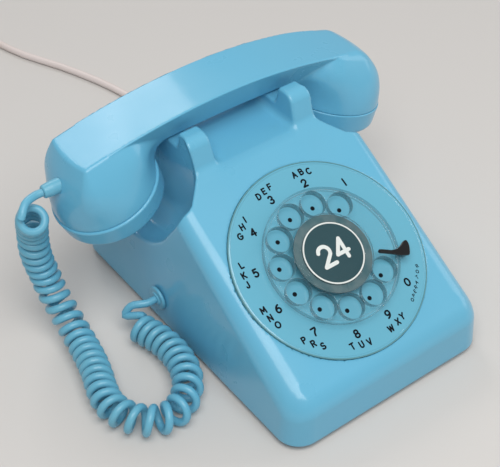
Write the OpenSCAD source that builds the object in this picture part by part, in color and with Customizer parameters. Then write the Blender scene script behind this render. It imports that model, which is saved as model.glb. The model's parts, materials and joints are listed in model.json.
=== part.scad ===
// Rotary desk telephone with a cradle handset, a curly handset cord and a line cord.
// X runs to the right, Y to the back and Z up. The origin is under the middle, on the table.

/* [Housing] */
// Width of the housing beside the number plate, on each side
side_margin = 11.1; // [9:0.1:14]
// Depth of the housing from front to back
body_d = 216; // [212:1:222]
// Height of the lower rim above the table
rim_z = 3.6; // [3:0.1:4]
// Wall thickness of the housing
wall = 2.6; // [2.2:0.1:3]
// Plan radius of the four lower corners
corner_r = 14; // [11:0.5:18]
// Radius along the upper edges
edge_r = 9.5; // [8:0.5:12]
// Radius of the front upper edge
front_edge_r = 14; // [11:0.5:16]
// Inward lean of the side walls in degrees
side_draft = 3.1; // [2:0.1:4]
// Inward lean of the rear wall in degrees
rear_draft = 9.4; // [8:0.1:10.5]
// Height of the flat saddle between the cradle prongs
saddle_z = 102.5; // [100:0.5:104]

/* [Dial] */
// Tilt of the dial face from level, in degrees
face_tilt = 31.2; // [30:0.2:33]
// Level distance from the front of the housing to the number plate
front_margin = 7.67; // [6.2:0.01:9]
// Height at which the dial face would meet the front of the housing
front_z = 30.62; // [29.8:0.01:31.4]
// Diameter of the number plate
plate_d = 114.4; // [110:0.2:116]
// Diameter of the finger wheel
wheel_d = 78.2; // [76:0.2:81]
// Thickness of the finger wheel
wheel_t = 2.8; // [2.2:0.1:3.4]
// Gap between the number plate and the finger wheel
wheel_gap = 3; // [2.6:0.1:3.6]
// Diameter of a finger hole
hole_d = 13.8; // [12.6:0.1:14.2]
// Radius of the circle of finger holes
hole_circle_r = 30.5; // [30:0.1:31]
// Diameter of the number card
card_d = 36; // [30:0.5:38]
// Diameter of the clear cover over the card
cover_d = 46; // [43:0.5:46.4]

/* [Handset] */
// Height of the handset's top at its crest
handset_top_z = 131.1; // [130:0.1:133]
// Height of the underside of the handle
handle_bottom_z = 110; // [109:0.1:111]
// Width of the handle across its flat top
handle_top_w = 35; // [33:0.5:36]
// Width of the handle across its underside
handle_bottom_w = 21; // [19:0.5:23]
// Radius of the two screw caps at the seam
cap_r = 31; // [30.4:0.1:31.6]
// Height of each screw cap
cap_h = 13.5; // [12.5:0.1:14.5]
// Wall thickness of the screw caps
cap_wall = 2.5; // [2:0.1:2.8]
// Distance of the handset's centre line in front of the back of the housing
cradle_set = 58.3; // [57:0.1:60]

/* [Cradle] */
// Width of a cradle prong
prong_w = 13; // [12:0.5:15]
// Height of the prongs' tops
prong_z = 120.5; // [118:0.5:122]
// Radius of the round recess under each handset cup
scoop_r = 48.5; // [47:0.5:50]
// Height of the recess axis
scoop_z = 97; // [96:0.5:98]
// Diameter of a hook plunger
plunger_d = 8; // [7:0.1:8.4]
// Rise of the plungers when the handset is lifted
plunger_rise = 5; // [4:0.5:6]
// Lift that takes the handset clear of the cradle
handset_lift = 70; // [60:1:90]

/* [Base] */
// Thickness of the base plate
base_t = 1.2; // [1:0.1:1.6]
// Height of the rubber feet
foot_h = 4; // [3.8:0.1:4.4]
// Diameter of the rubber feet
foot_d = 16; // [14:0.5:18]

/* [Cords] */
// Diameter of the handset cord
curl_wire_d = 4.6; // [4:0.1:4.6]
// Radius of the handset cord's curls, to the middle of the wire
curl_r = 6.8; // [6.4:0.1:6.8]
// Diameter of the line cord
line_d = 5; // [4.4:0.1:5.2]
// Turns in each layer of the stored line cord
coil_turns = 5; // [3:1:5]

/* [Hidden] */

$fn = 48;
eps = 0.01;

// Colours
shell_blue = [0.42, 0.72, 0.84];
plate_blue = [0.46, 0.74, 0.80];
card_teal = [0.05, 0.25, 0.27];
clear = [0.80, 0.90, 0.90, 0.4];
steel = [0.62, 0.63, 0.65];
dark_steel = [0.16, 0.15, 0.15];
brass = [0.78, 0.62, 0.30];
rubber_black = [0.08, 0.08, 0.08];
inner_black = [0.13, 0.13, 0.14];
inner_white = [0.90, 0.89, 0.84];
copper = [0.62, 0.32, 0.18];
cord_white = [0.90, 0.86, 0.84];

// Outline of the housing
body_w = plate_d + 2 * side_margin;
body_r = body_w / 2;
front_y = -body_d / 2;
rear_y0 = body_d / 2;
dial_y = front_y + front_margin + plate_d / 2 * cos(face_tilt);
cradle_y = rear_y0 - cradle_set;
face_slope = tan(face_tilt);
dial_z = front_z + (dial_y - front_y) * face_slope;
function half_w(z) = body_r - (z - rim_z) * tan(side_draft);
function rear_y(z) = rear_y0 - (z - rim_z) * tan(rear_draft);
function face_z(y) = dial_z + (y - dial_y) * face_slope;
function face_y(z) = dial_y + (z - dial_z) / face_slope;

// Heights inside the base
floor_z = foot_h;
base_top_z = floor_z + base_t;
base_gap = 0.3;

// Cradle
rest_gap = 0.3;
web_z = handle_bottom_z - rest_gap;
prong_gap = 19.3;
prong_foot = 39.5;
prong_slope = 60;
prong_inner_r = 2.5;
prong_outer_r = 8;
scoop_wall_x = body_r - 28.3;
scoop_floor_x = body_r - 14.8;
prong_inner_x = scoop_wall_x - prong_w;
scoop_wall_r = 38;
hold_r = 15;
hold_z = 80;
hold_half_w = 34;

// Hook switch
plunger_x = scoop_wall_x - 7;
plunger_clear = 0.08;
plunger_bottom_z = 86;
lever_arm = 25;
lever_r = 3;
lever_z = plunger_bottom_z - rest_gap - lever_r;
axle_y = cradle_y + lever_arm;
axle_r = 2;
axle_clear = 0.05;

// Dial, measured from the face plane along its normal
recess_d = 1.6;
plate_t = 2.2;
plate_top = plate_t - recess_d;
plate_clear = 0.3;
wheel_bottom = plate_top + wheel_gap;
wheel_top = wheel_bottom + wheel_t;
shaft_r = 3;
shaft_clear = 0.05;
bearing_r = 5;
frame_top = -8.4;
frame_t = 1.6;
frame_r = plate_d / 2 - 7.2;
frame_bottom = frame_top - frame_t;
gear_top = -13;
gear_t = 3;
gear_module = 1;
main_teeth = 48;
pinion_teeth = 8;
gear_centre = gear_module * (main_teeth + pinion_teeth) / 2;
pulse_angle = 200;
governor_angle = 120;
stop_angle = -24;
first_hole_angle = 45;
hole_step = 30;
hole_count = 10;

// Handset
crest_x = -7;
left_fall = 0.00127;
right_fall = 0.0016;
left_seam = [-body_r - 10.1, 90];
left_tilt = 20.1;
right_seam = [body_r + 13, 82.7];
right_tilt = -15.9;
strip_end_left = left_seam[0] - 19.6;
strip_end_right = right_seam[0] + 16.7;
handle_end = body_r - 18.3;
cup_rise = 36;
neck_r = cap_r - cap_wall - 0.3;
neck_t = 1.6;
neck_h = 6;
unit_r = neck_r - neck_t - 0.5;
relief_z = 104.4;
relief_end_x = left_seam[0] - 36.6;
relief_r = 4.3;
function fall(x) = x < crest_x ? left_fall : right_fall;
function strip_z(x) = handset_top_z - fall(x) * pow(x - crest_x, 2);

// Cord exits
handset_exit = [relief_end_x + 44.5, cradle_y - 29.7, 20.3];
line_exit = [42, rear_y0 + 2, 12];

// ---------------------------------------------------------------- curves and tubes

function unit(v) = v / norm(v);

// A point on the smooth curve through the points P, between P[i] and P[i + 1]
function curve_point(P, i, t) =
    let (
        b = P[i], c = P[i + 1],
        a = i > 0 ? P[i - 1] : 2 * b - c,
        d = i + 2 < len(P) ? P[i + 2] : 2 * c - b
    )
    0.5 * (2 * b + (c - a) * t + (2 * a - 5 * b + 4 * c - d) * t * t + (3 * b - a - 3 * c + d) * t * t * t);

function smooth_curve(P, n) = concat(
    [for (i = [0:len(P) - 2]) for (j = [0:n - 1]) curve_point(P, i, j / n)],
    [P[len(P) - 1]]
);

function directions(C) = [for (i = [0:len(C) - 1]) unit(C[min(i + 1, len(C) - 1)] - C[max(i - 1, 0)])];

function flattened(u, t) = unit(u - t * (u * t));

// Side vectors carried along the directions T without twist
function carried(T, u0) = [
    for (i = 0, u = flattened(u0, T[0]); i < len(T); i = i + 1, u = flattened(u, T[min(i, len(T) - 1)])) u
];

// A closed tube of triangles along the points Q
module tube(Q, d, sides) {
    n = len(Q);
    T = directions(Q);
    U = carried(T, [0.3, 0.2, 1]);
    points = [
        for (i = [0:n - 1]) for (j = [0:sides - 1])
            let (a = 360 * j / sides, v = cross(T[i], U[i]))
            Q[i] + d / 2 * (cos(a) * U[i] + sin(a) * v)
    ];
    skin = [
        for (i = [0:n - 2]) for (j = [0:sides - 1])
            let (k = (j + 1) % sides, a = i * sides + j, b = i * sides + k)
            each [[a, a + sides, b], [b, a + sides, b + sides]]
    ];
    first = [for (j = [1:sides - 2]) [0, j, j + 1]];
    last = [for (j = [1:sides - 2]) [(n - 1) * sides, (n - 1) * sides + j + 1, (n - 1) * sides + j]];
    polyhedron(points, concat(skin, first, last));
}

// ---------------------------------------------------------------- cord routes

curl_rings = 8;
tube_sides = 6;
curl_start = 60;

// Middle line of the curls, from the relief's end, with the pitch of the curls after each point
curl_route = [
    [-11, -6.7, 96, 7], [-9, 0.3, 88, 7.2], [-7, 6.3, 77, 6.4], [-7, 8.3, 65, 6], [-6, 9.3, 53, 6.2],
    [-4, 8.3, 41, 6.6], [-3, 4.3, 30, 7.2], [-2, -3.7, 20, 7.4], [-2, -14.7, 13, 7], [-3, -25.7, 10, 6],
    [-5, -37.7, 9.5, 5.8], [-8, -49.7, 9.5, 6], [-12, -61.7, 9.5, 6.6], [-14, -73.7, 9.5, 7.6], [-11, -85.7, 9.5, 8.6],
    [-3, -95.7, 9.5, 8.8], [8, -99.7, 9.5, 8.8], [19, -95.7, 9.5, 8.4], [28, -86.7, 9.5, 7.4], [33, -75.7, 9.5, 6.4],
    [35, -63.7, 9.5, 6.2], [34.5, -51.7, 9.5, 6.2], [32, -40.7, 9.5, 6], [29, -31.7, 10, 6],
];
curl_lead_in = [
    [0, 0, 104.4], [-5, 0, 104.4], [-12, -2.7, 104.3], [-17, -6.7, 100.5],
];
curl_lead_out = [
    [27, -23.7, 13], [31, -24.7, 19], [36, -28.2, 20.3], [39.5, -29.7, 20.3], [44.5, -29.7, 20.3],
];

// Middle of the stored coil, from the line cord's exit, and the way to it
coil_centre = line_exit + [-94, 278, 0];
coil_outer_r = 38.6;
coil_step = line_d + 0.5;
layer_step = line_d + 0.45;
coil_first_angle = 10;
coil_rings = 24;
tie_t = 0.4;
tie_w = 6;
tie_gap = 0.25;
line_route = [
    [0, 0, 12], [0, 5, 12], [0, 14, 10], [0, 26, 4.5], [0, 40, 2.6],
    [-1, 65, 2.6], [-3, 90, 2.6], [-6, 114, 2.6], [-13, 142, 2.6], [-25, 175, 2.6],
    [-39, 206, 2.6], [-47.4, 235, 2.6], [-51.7, 260, 2.6],
];

function from(o, p) = [o[0] + p[0], o[1] + p[1], p[2]];
relief_end = [relief_end_x, cradle_y, relief_z];
curl_points = [for (p = curl_route) from(relief_end, p)];
curl_middle = concat(
    [
        for (i = [0:len(curl_route) - 2])
            let (n = round(curl_rings * norm(curl_points[i + 1] - curl_points[i]) / curl_route[i][3]))
            for (j = [0:n - 1]) curve_point(curl_points, i, j / n)
    ],
    [curl_points[len(curl_points) - 1]]
);
curl_T = directions(curl_middle);
curl_U = carried(curl_T, [-1, 0, 0]);
curls = [
    for (i = [0:len(curl_middle) - 1])
        let (a = curl_start - 360 * i / curl_rings)
        curl_middle[i] + curl_r * (cos(a) * curl_U[i] + sin(a) * cross(curl_T[i], curl_U[i]))
];
handset_cord_path = concat(
    [for (p = curl_lead_in) from(relief_end, p)], curls, [for (p = curl_lead_out) from(relief_end, p)]
);

// The stored coil winds in on the table, climbs one layer and winds out again
half_turns = coil_turns - 0.5;
function coil_radius(s) =
    s < half_turns ? coil_outer_r - coil_step * s : coil_outer_r - coil_step * (2 * half_turns - s);
function coil_height(s) = line_d / 2 + tie_t + 0.15 + layer_step * min(max(2 * (s - half_turns) + 0.5, 0), 1);
function coil_point(s) = let (a = coil_first_angle + 360 * s) [
    coil_centre[0] + coil_radius(s) * cos(a),
    coil_centre[1] + coil_radius(s) * sin(a),
    coil_height(s),
];
coil_path = [for (i = [0:2 * half_turns * coil_rings]) coil_point(i / coil_rings)];
coil_first = coil_path[0];
coil_last = coil_path[len(coil_path) - 1];
coil_last_way = unit(coil_last - coil_path[len(coil_path) - 2]);
coil_end = [
    for (p = [[5, 0], [10, 0], [16, 0.3], [23, 1.6], [30, 3], [36, 3.7], [42, 3.7]])
        coil_last + coil_last_way * p[0] - [0, 0, p[1]]
];
coil_start = [for (t = [2, 1]) coil_first - unit(coil_path[1] - coil_path[0]) * line_d * t];
stored_path = concat(coil_start, coil_path, coil_end);
line_path = concat([for (p = line_route) from(line_exit, p)], [stored_path[0] - unit(coil_path[1] - coil_path[0]) * line_d, stored_path[0]]);

function path_length(Q) = let (s = [for (i = [1:len(Q) - 1]) norm(Q[i] - Q[i - 1])]) s * [for (x = s) 1];
function least_gap(Q, d, apart) = min([
    for (i = [0:len(Q) - 1]) for (j = [i + apart:1:len(Q) - 1]) norm(Q[i] - Q[j]) - d
]);
echo(curls = (len(curls) - 1) / curl_rings, length = path_length(smooth_curve(handset_cord_path, 3)));
echo(handset_cord_least_gap = least_gap(handset_cord_path, curl_wire_d, 5));
echo(line_cord_length = path_length(smooth_curve(line_path, 3)) + path_length(stored_path));
echo(line_coil_least_gap = least_gap(stored_path, line_d, 8));

// ---------------------------------------------------------------- placing

module on_dial() {
    translate([0, dial_y, dial_z]) rotate([face_tilt, 0, 0]) children();
}

module at_angle(a, r) {
    rotate([0, 0, a]) translate([r, 0, 0]) children();
}

module on_seam(seam, tilt) {
    translate([seam[0], cradle_y, seam[1]]) rotate([0, -tilt, 0]) children();
}

module both_sides() {
    children();
    mirror([1, 0, 0]) children();
}

module along_x(length) {
    rotate([90, 0, 90]) translate([0, 0, -length / 2]) linear_extrude(length) children();
}

module x_cylinder(r, x0, x1) {
    translate([x0, 0, 0]) rotate([0, 90, 0]) cylinder(r = r, h = x1 - x0);
}

module ring(r_out, r_in, h) {
    difference() {
        cylinder(r = r_out, h = h);
        translate([0, 0, -eps]) cylinder(r = r_in, h = h + 2 * eps);
    }
}

// Flat plate with round corners
module round_plate(w, d, r, h) {
    linear_extrude(h) {
        square([w - 2 * r, d], center = true);
        square([w, d - 2 * r], center = true);
        for (x = [-1, 1], y = [-1, 1]) translate([x * (w / 2 - r), y * (d / 2 - r)]) circle(r);
    }
}

// ---------------------------------------------------------------- housing

// Rounded wedge that gives the housing its outline, drawn in by inset
module wedge(inset) {
    front_z = face_z(front_y + front_edge_r) - front_edge_r / cos(face_tilt);
    top_z = saddle_z - edge_r;
    top_front_y = face_y(top_z + edge_r / cos(face_tilt));
    top_rear_y = rear_y(top_z) - edge_r / cos(rear_draft);
    foot = inset > 0 ? rim_z - 1 : rim_z;
    hull() {
        for (x = [-1, 1]) {
            for (y = [-1, 1])
                translate([x * (body_r - corner_r), y * (rear_y0 - corner_r), foot])
                    cylinder(r = corner_r - inset, h = 1);
            translate([x * (half_w(front_z) - front_edge_r), front_y + front_edge_r, front_z])
                sphere(front_edge_r - inset);
            translate([x * (half_w(top_z) - edge_r), top_front_y, top_z]) sphere(edge_r - inset);
            translate([x * (half_w(top_z) - edge_r), top_rear_y, top_z]) sphere(edge_r - inset);
        }
    }
}

// Round recess under a handset cup; grow draws the skin behind it
module scoop(grow) {
    translate([0, cradle_y, scoop_z]) rotate([0, 90, 0])
        rotate_extrude($fn = 96)
            polygon([
                [0, scoop_wall_x - grow], [scoop_wall_r + grow / 2, scoop_wall_x - grow],
                [scoop_r + grow, scoop_floor_x - grow / 3], [scoop_r + grow, body_w], [0, body_w],
            ]);
}

function arc_points(y, z, r, from, to, n) = [
    for (i = [0:n]) let (a = from + (to - from) * i / n) [y + r * cos(a), z + r * sin(a)]
];

// Side view of the cradle, from its middle to one side
prong_arc_y = prong_foot
    - (prong_outer_r + (prong_z - prong_outer_r - 101) * cos(prong_slope)) / sin(prong_slope);
prong_side = concat(
    [[0, web_z], [prong_gap - 1.3, web_z]],
    arc_points(prong_gap + prong_inner_r, prong_z - prong_inner_r, prong_inner_r, 180, 90, 4),
    arc_points(prong_arc_y, prong_z - prong_outer_r, prong_outer_r, 90, 90 - prong_slope, 6),
    [[prong_foot, 101], [prong_foot + 6, 101 - 6 * tan(prong_slope)], [0, 101 - 6 * tan(prong_slope)]]
);

module cradle() {
    translate([0, cradle_y, 0]) for (m = [0, 1]) mirror([0, m, 0])
        along_x(2 * scoop_floor_x) polygon(prong_side);
}

// Gap between the left and right prongs, a little wider at the top
module saddle_gap() {
    translate([0, rear_y0, 0]) rotate([90, 0, 0]) linear_extrude(body_d)
        polygon([
            [-prong_inner_x + 0.5, saddle_z], [prong_inner_x - 0.5, saddle_z],
            [prong_inner_x + 1.2, prong_z + 5], [-prong_inner_x - 1.2, prong_z + 5],
        ]);
}

// Finger recess in the rear wall, for lifting the telephone
module hand_hold(grow) {
    translate([0, rear_y(hold_z) + 4, hold_z])
        x_cylinder(hold_r + grow, -hold_half_w - grow, hold_half_w + grow);
}

boss_r = 4.5;
boss_hole_r = 1.6;
boss_y = [front_y + 12.5, rear_y0 - 15];

module housing() {
    color(shell_blue) difference() {
        union() {
            difference() {
                union() {
                    wedge(0);
                    cradle();
                }
                difference() {
                    wedge(wall);
                    both_sides() scoop(wall);
                    hand_hold(wall);
                }
            }
            intersection() {
                wedge(wall / 2);
                for (y = boss_y) translate([0, y, base_top_z]) cylinder(r = boss_r, h = 80);
            }
        }
        both_sides() scoop(0);
        saddle_gap();
        hand_hold(0);
        on_dial() translate([0, 0, -recess_d]) cylinder(d = plate_d + 2 * plate_clear, h = 30, $fn = 96);
        on_dial() translate([0, 0, -15]) cylinder(r = plate_d / 2 - 5, h = 30, $fn = 96);
        for (y = boss_y) translate([0, y, 0]) cylinder(r = boss_hole_r, h = base_top_z + 14);
        both_sides() translate([plunger_x, cradle_y, scoop_z - 4])
            cylinder(r = plunger_d / 2 + plunger_clear, h = 30);
        translate(handset_exit) x_cylinder(grommet_r, -10, 20);
        translate(line_exit) rotate([90, 0, 0]) cylinder(r = grommet_r, h = 20);
    }
}

// ---------------------------------------------------------------- base

grommet_r = 4.5;
flange_r = 7.5;
flange_t = 1.8;
foot_x = body_r - 21;
foot_y = rear_y0 - 20;
base_screw_r = 1.5;

module base_plate() {
    inset = wall + base_gap;
    color(inner_black) difference() {
        translate([0, 0, floor_z])
            round_plate(body_w - 2 * inset - 0.6, body_d - 2 * inset - 1, corner_r - inset, base_t);
        for (y = boss_y) translate([0, y, 0]) cylinder(r = boss_hole_r, h = 2 * base_top_z);
        translate([loudness_x - loudness_r - 1, loudness_y - 2.6, 0])
            cube([2 * loudness_r + 2, 5.2, 2 * base_top_z]);
    }
}

module rubber_feet() {
    color(rubber_black) for (x = [-1, 1], y = [-1, 1]) translate([x * foot_x, y * foot_y, 0])
        cylinder(r1 = foot_d / 2 - 1, r2 = foot_d / 2, h = foot_h);
}

module housing_screws() {
    color(steel) for (y = boss_y) translate([0, y, 0]) {
        translate([0, 0, floor_z - 2]) cylinder(r = 3.2, h = 2);
        translate([0, 0, floor_z]) cylinder(r = boss_hole_r - 0.1, h = 12);
    }
}

module handset_cord_grommet() {
    wall_x = -half_w(handset_exit[2]) - 0.5;
    color(shell_blue) translate([0, handset_exit[1], handset_exit[2]]) {
        x_cylinder(grommet_r - 0.1, handset_exit[0], wall_x + 9);
        x_cylinder(flange_r, wall_x - flange_t, wall_x);
        x_cylinder(grommet_r + 1.5, wall_x + wall + 1.2, wall_x + wall + 3);
    }
}

module line_cord_grommet() {
    wall_y = rear_y(line_exit[2] - flange_r) + 0.15;
    color(cord_white) translate([line_exit[0], 0, line_exit[2]]) rotate([-90, 0, 0]) {
        translate([0, 0, wall_y - 9]) cylinder(r = grommet_r - 0.1, h = line_exit[1] - wall_y + 9);
        translate([0, 0, wall_y]) cylinder(r = flange_r - 1, h = flange_t);
    }
}

// ---------------------------------------------------------------- dial, fixed pieces

post_r = 3;
post_circle_r = frame_r - 5;
post_angles = [20, 160, 270];

module number_plate() {
    color(plate_blue) on_dial() difference() {
        union() {
            translate([0, 0, -recess_d]) cylinder(d = plate_d, h = plate_t, $fn = 96);
            translate([0, 0, plate_top - eps]) ring(plate_d / 2, plate_d / 2 - 1.2, 0.4);
        }
        translate([0, 0, -5]) cylinder(r = bearing_r + 0.1, h = 10);
        at_angle(stop_angle, stop_post_r) translate([0, 0, -5]) cube([3.6, 9, 20], center = true);
    }
}

module dial_frame() {
    color(steel) on_dial() difference() {
        union() {
            translate([0, 0, frame_bottom]) cylinder(r = frame_r, h = frame_t);
            for (a = post_angles) at_angle(a, post_circle_r)
                translate([0, 0, frame_top]) cylinder(r = post_r, h = -recess_d - frame_top);
        }
        translate([0, 0, frame_bottom - 1]) cylinder(r = bearing_r + 0.02, h = frame_t + 2);
        for (a = [pulse_angle, governor_angle]) at_angle(a, gear_centre)
            translate([0, 0, frame_bottom - 1]) cylinder(r = pivot_r + shaft_clear, h = frame_t + 2);
        for (x = [-1, 1]) translate([x * (bracket_x - 2.5), 0, frame_bottom - 1])
            cylinder(r = base_screw_r, h = frame_t + 2);
    }
}

bracket_x = frame_r - 5;
bracket_t = 1.6;
bracket_v = 13;

// Two steel legs that carry the dial on the base plate
module dial_bracket() {
    top = [for (v = [-bracket_v, bracket_v])
        [dial_y + v * cos(face_tilt) - frame_bottom * sin(face_tilt),
            dial_z + v * sin(face_tilt) + frame_bottom * cos(face_tilt)]];
    color(steel) both_sides() {
        translate([bracket_x, 0, 0]) along_x(bracket_t)
            polygon([[top[0][0], base_top_z], [top[1][0], base_top_z], top[1], top[0]]);
        translate([bracket_x - 9, top[0][0], base_top_z]) cube([9, top[1][0] - top[0][0], bracket_t]);
        on_dial() difference() {
            translate([bracket_x - 7, -6, frame_bottom - bracket_t]) cube([7, 12, bracket_t]);
            translate([bracket_x - 2.5, 0, frame_bottom - 5]) cylinder(r = base_screw_r, h = 10);
        }
    }
}

module dial_screws() {
    color(steel) on_dial() for (x = [-1, 1]) translate([x * (bracket_x - 2.5), 0, 0]) {
        translate([0, 0, frame_top]) cylinder(r = 2.3, h = 1.4);
        translate([0, 0, frame_bottom - bracket_t - 2]) cylinder(r = base_screw_r - 0.1, h = frame_t + bracket_t + 2);
    }
}

bearing_bottom = gear_top + 0.3;
bearing_top = wheel_bottom - 0.9;

module dial_bearing() {
    color(brass) on_dial() translate([0, 0, bearing_bottom])
        ring(bearing_r, shaft_r + shaft_clear, bearing_top - bearing_bottom);
}

stop_tip_r = hole_circle_r - 5;
stop_foot_r = wheel_d / 2 + 6.9;
stop_post_r = stop_foot_r - 1;
stop_clear = 1.4;

// Curved hook that stops the finger, bent over the rim of the finger wheel
module finger_stop() {
    low = wheel_top + stop_clear;
    color(dark_steel) on_dial() {
        at_angle(stop_angle, 0) translate([0, 0, low]) linear_extrude(1.4) polygon(concat(
            [[stop_tip_r, 1.5]],
            [for (i = [0:6]) [stop_tip_r + 3 + 2.4 * i, 2.4 + 1.7 * sin(30 * i - 60)]],
            [[stop_foot_r - 0.5, 7.5], [stop_foot_r + 0.9, 3], [stop_foot_r + 0.9, -4], [stop_foot_r - 3, -6]],
            [for (i = [0:5]) [stop_foot_r - 6 - 2.6 * i, -3.4 + 0.7 * i]]
        ));
        at_angle(stop_angle, stop_post_r) translate([0, 0, frame_top]) translate([-0.7, -4, 0])
            cube([1.6, 8, low - frame_top + 1.4]);
        at_angle(stop_angle, stop_post_r) translate([-5, -4, frame_top]) cube([5, 8, 1.4]);
    }
}

module pulse_contacts() {
    color(brass) on_dial() at_angle(pulse_angle, gear_centre) {
        for (i = [0:2]) translate([6.6 + 2.2 * i, -7, gear_top - 7]) cube([0.5, 26, 3]);
    }
    color(inner_black) on_dial() at_angle(pulse_angle, gear_centre)
        translate([5.6, 11, frame_bottom - 11.5]) cube([7.4, 8, 11.5]);
}

governor_top = gear_top - gear_t - 1.5;
governor_h = 7;
governor_r = 9;

module governor_cup() {
    color(brass) on_dial() at_angle(governor_angle, gear_centre) {
        translate([0, 0, governor_top - governor_h]) ring(governor_r + 1.5, governor_r, governor_h);
        translate([0, 0, governor_top - governor_h - 1.2]) ring(governor_r + 1.5, pivot_r + shaft_clear, 1.2);
        for (a = [-75, 0, 75]) at_angle(a, governor_r + 2.6) translate([0, 0, governor_top - governor_h])
            cylinder(r = 1.5, h = frame_bottom - governor_top + governor_h);
    }
}

// ---------------------------------------------------------------- dial, turning pieces

hub_r = 22;

module finger_wheel() {
    color(clear) on_dial() difference() {
        union() {
            translate([0, 0, wheel_bottom]) cylinder(d = wheel_d, h = wheel_t, $fn = 96);
            translate([0, 0, wheel_bottom]) ring(wheel_d / 2, wheel_d / 2 - 1.5, wheel_t + 0.7);
        }
        translate([0, 0, wheel_bottom - 1]) cylinder(r = shaft_r, h = wheel_t + 2);
        for (i = [0:hole_count - 1]) at_angle(first_hole_angle + hole_step * i, hole_circle_r)
            translate([0, 0, wheel_bottom - 1]) cylinder(d = hole_d, h = wheel_t + 3);
    }
}

clamp_t = 0.8;

module wheel_clamp() {
    color(steel) on_dial() {
        translate([0, 0, wheel_top]) ring(cover_d / 2 - 0.3, shaft_r, clamp_t);
        translate([0, 0, wheel_bottom - 0.6]) ring(bearing_r + 3, shaft_r, 0.6);
    }
}

card_t = 0.6;
cover_t = 3.6;
cover_low = wheel_top + clamp_t;

module number_card() {
    color(card_teal) on_dial() translate([0, 0, cover_low + 0.2]) cylinder(d = card_d, h = card_t);
}

module card_cover() {
    color(clear) on_dial() difference() {
        union() {
            translate([0, 0, cover_low]) cylinder(d = cover_d, h = 1.6, $fn = 72);
            translate([0, 0, cover_low + 1.6])
                cylinder(r1 = cover_d / 2, r2 = cover_d / 2 - 3, h = cover_t - 1.6, $fn = 72);
        }
        translate([0, 0, cover_low - 1]) cylinder(d = card_d + 0.4, h = card_t + 1.3);
    }
}

shaft_bottom = gear_top - gear_t - 6;

module dial_shaft() {
    color(steel) on_dial() translate([0, 0, shaft_bottom]) cylinder(r = shaft_r, h = cover_low - shaft_bottom);
}

// Spur gear about Z, with its teeth as flat sided pegs
module gear(teeth, h, bore, turn = 0) {
    pitch_r = gear_module * teeth / 2;
    root_r = pitch_r - 1.1 * gear_module;
    tip_r = pitch_r + 0.8 * gear_module;
    step = 360 / teeth;
    difference() {
        rotate([0, 0, turn]) linear_extrude(h) polygon([
            for (i = [0:teeth - 1]) each [
                root_r * [cos(step * (i - 0.30)), sin(step * (i - 0.30))],
                tip_r * [cos(step * (i - 0.10)), sin(step * (i - 0.10))],
                tip_r * [cos(step * (i + 0.10)), sin(step * (i + 0.10))],
                root_r * [cos(step * (i + 0.30)), sin(step * (i + 0.30))],
            ]
        ]);
        translate([0, 0, -1]) cylinder(r = bore, h = h + 2);
    }
}

module main_gear() {
    color(brass) on_dial() translate([0, 0, gear_top - gear_t]) gear(main_teeth, gear_t, shaft_r);
}

module return_spring() {
    color(steel) on_dial() translate([0, 0, shaft_bottom]) ring(8, shaft_r + 1.2, 5.7);
}

pivot_r = 1.5;

// Turn of a pinion that puts one of its gaps on a tooth of the main gear
function pinion_turn(a) = let (steps = a * main_teeth / 360)
    180 + 180 / pinion_teeth + (steps - round(steps)) * 360 / pinion_teeth;

module pulse_cam() {
    color(inner_white) on_dial() at_angle(pulse_angle, gear_centre) {
        translate([0, 0, gear_top - gear_t]) gear(pinion_teeth, gear_t, 0.01, pinion_turn(pulse_angle));
        difference() {
            translate([0, 0, gear_top - gear_t - 4]) cylinder(r = 5.5, h = 4);
            for (x = [-1, 1]) translate([x * 8.5, 0, gear_top - gear_t - 5]) cylinder(r = 4.5, h = 6);
        }
        translate([0, 0, gear_top - gear_t - 5.5]) cylinder(r = pivot_r, h = frame_top - gear_top + gear_t + 5.5);
    }
}

module governor_rotor() {
    color(steel) on_dial() at_angle(governor_angle, gear_centre) {
        translate([0, 0, gear_top - gear_t]) gear(pinion_teeth, gear_t, 0.01, pinion_turn(governor_angle));
        translate([0, 0, governor_top - governor_h - 1.2]) cylinder(r = pivot_r, h = frame_top - governor_top + governor_h + 1.2);
        translate([-governor_r + 0.6, -2, governor_top - governor_h + 1]) cube([2 * governor_r - 1.2, 4, governor_h - 2]);
    }
}

// ---------------------------------------------------------------- hook switch

module plunger() {
    color(inner_white) {
        translate([0, 0, plunger_bottom_z]) cylinder(d = plunger_d - 2, h = scoop_z - 1 - plunger_bottom_z);
        translate([0, 0, scoop_z - 1]) cylinder(d = plunger_d, h = web_z - scoop_z + 1);
    }
}

module plunger_left() {
    translate([-plunger_x, cradle_y, 0]) plunger();
}

module plunger_right() {
    translate([plunger_x, cradle_y, 0]) plunger();
}

bracket_half = 20;
hook_t = 1.6;

// Steel yoke that stands on the base plate and carries the lever's axle
module hook_bracket() {
    color(steel) difference() {
        union() {
            both_sides() translate([bracket_half, 0, 0]) along_x(hook_t)
                polygon([
                    [axle_y - 12, base_top_z], [axle_y + 8, base_top_z],
                    [axle_y + 6, lever_z + 6], [axle_y - 6, lever_z + 6],
                ]);
            translate([-bracket_half, axle_y - 12, base_top_z]) cube([2 * bracket_half, 20, hook_t]);
            translate([-bracket_half, axle_y + 5, 40]) cube([2 * bracket_half, hook_t, 12]);
        }
        translate([0, axle_y, lever_z]) x_cylinder(axle_r + 0.02, -body_r, body_r);
    }
}

module hook_axle() {
    color(steel) translate([0, axle_y, lever_z]) x_cylinder(axle_r, -bracket_half - 2, bracket_half + 2);
}

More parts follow.
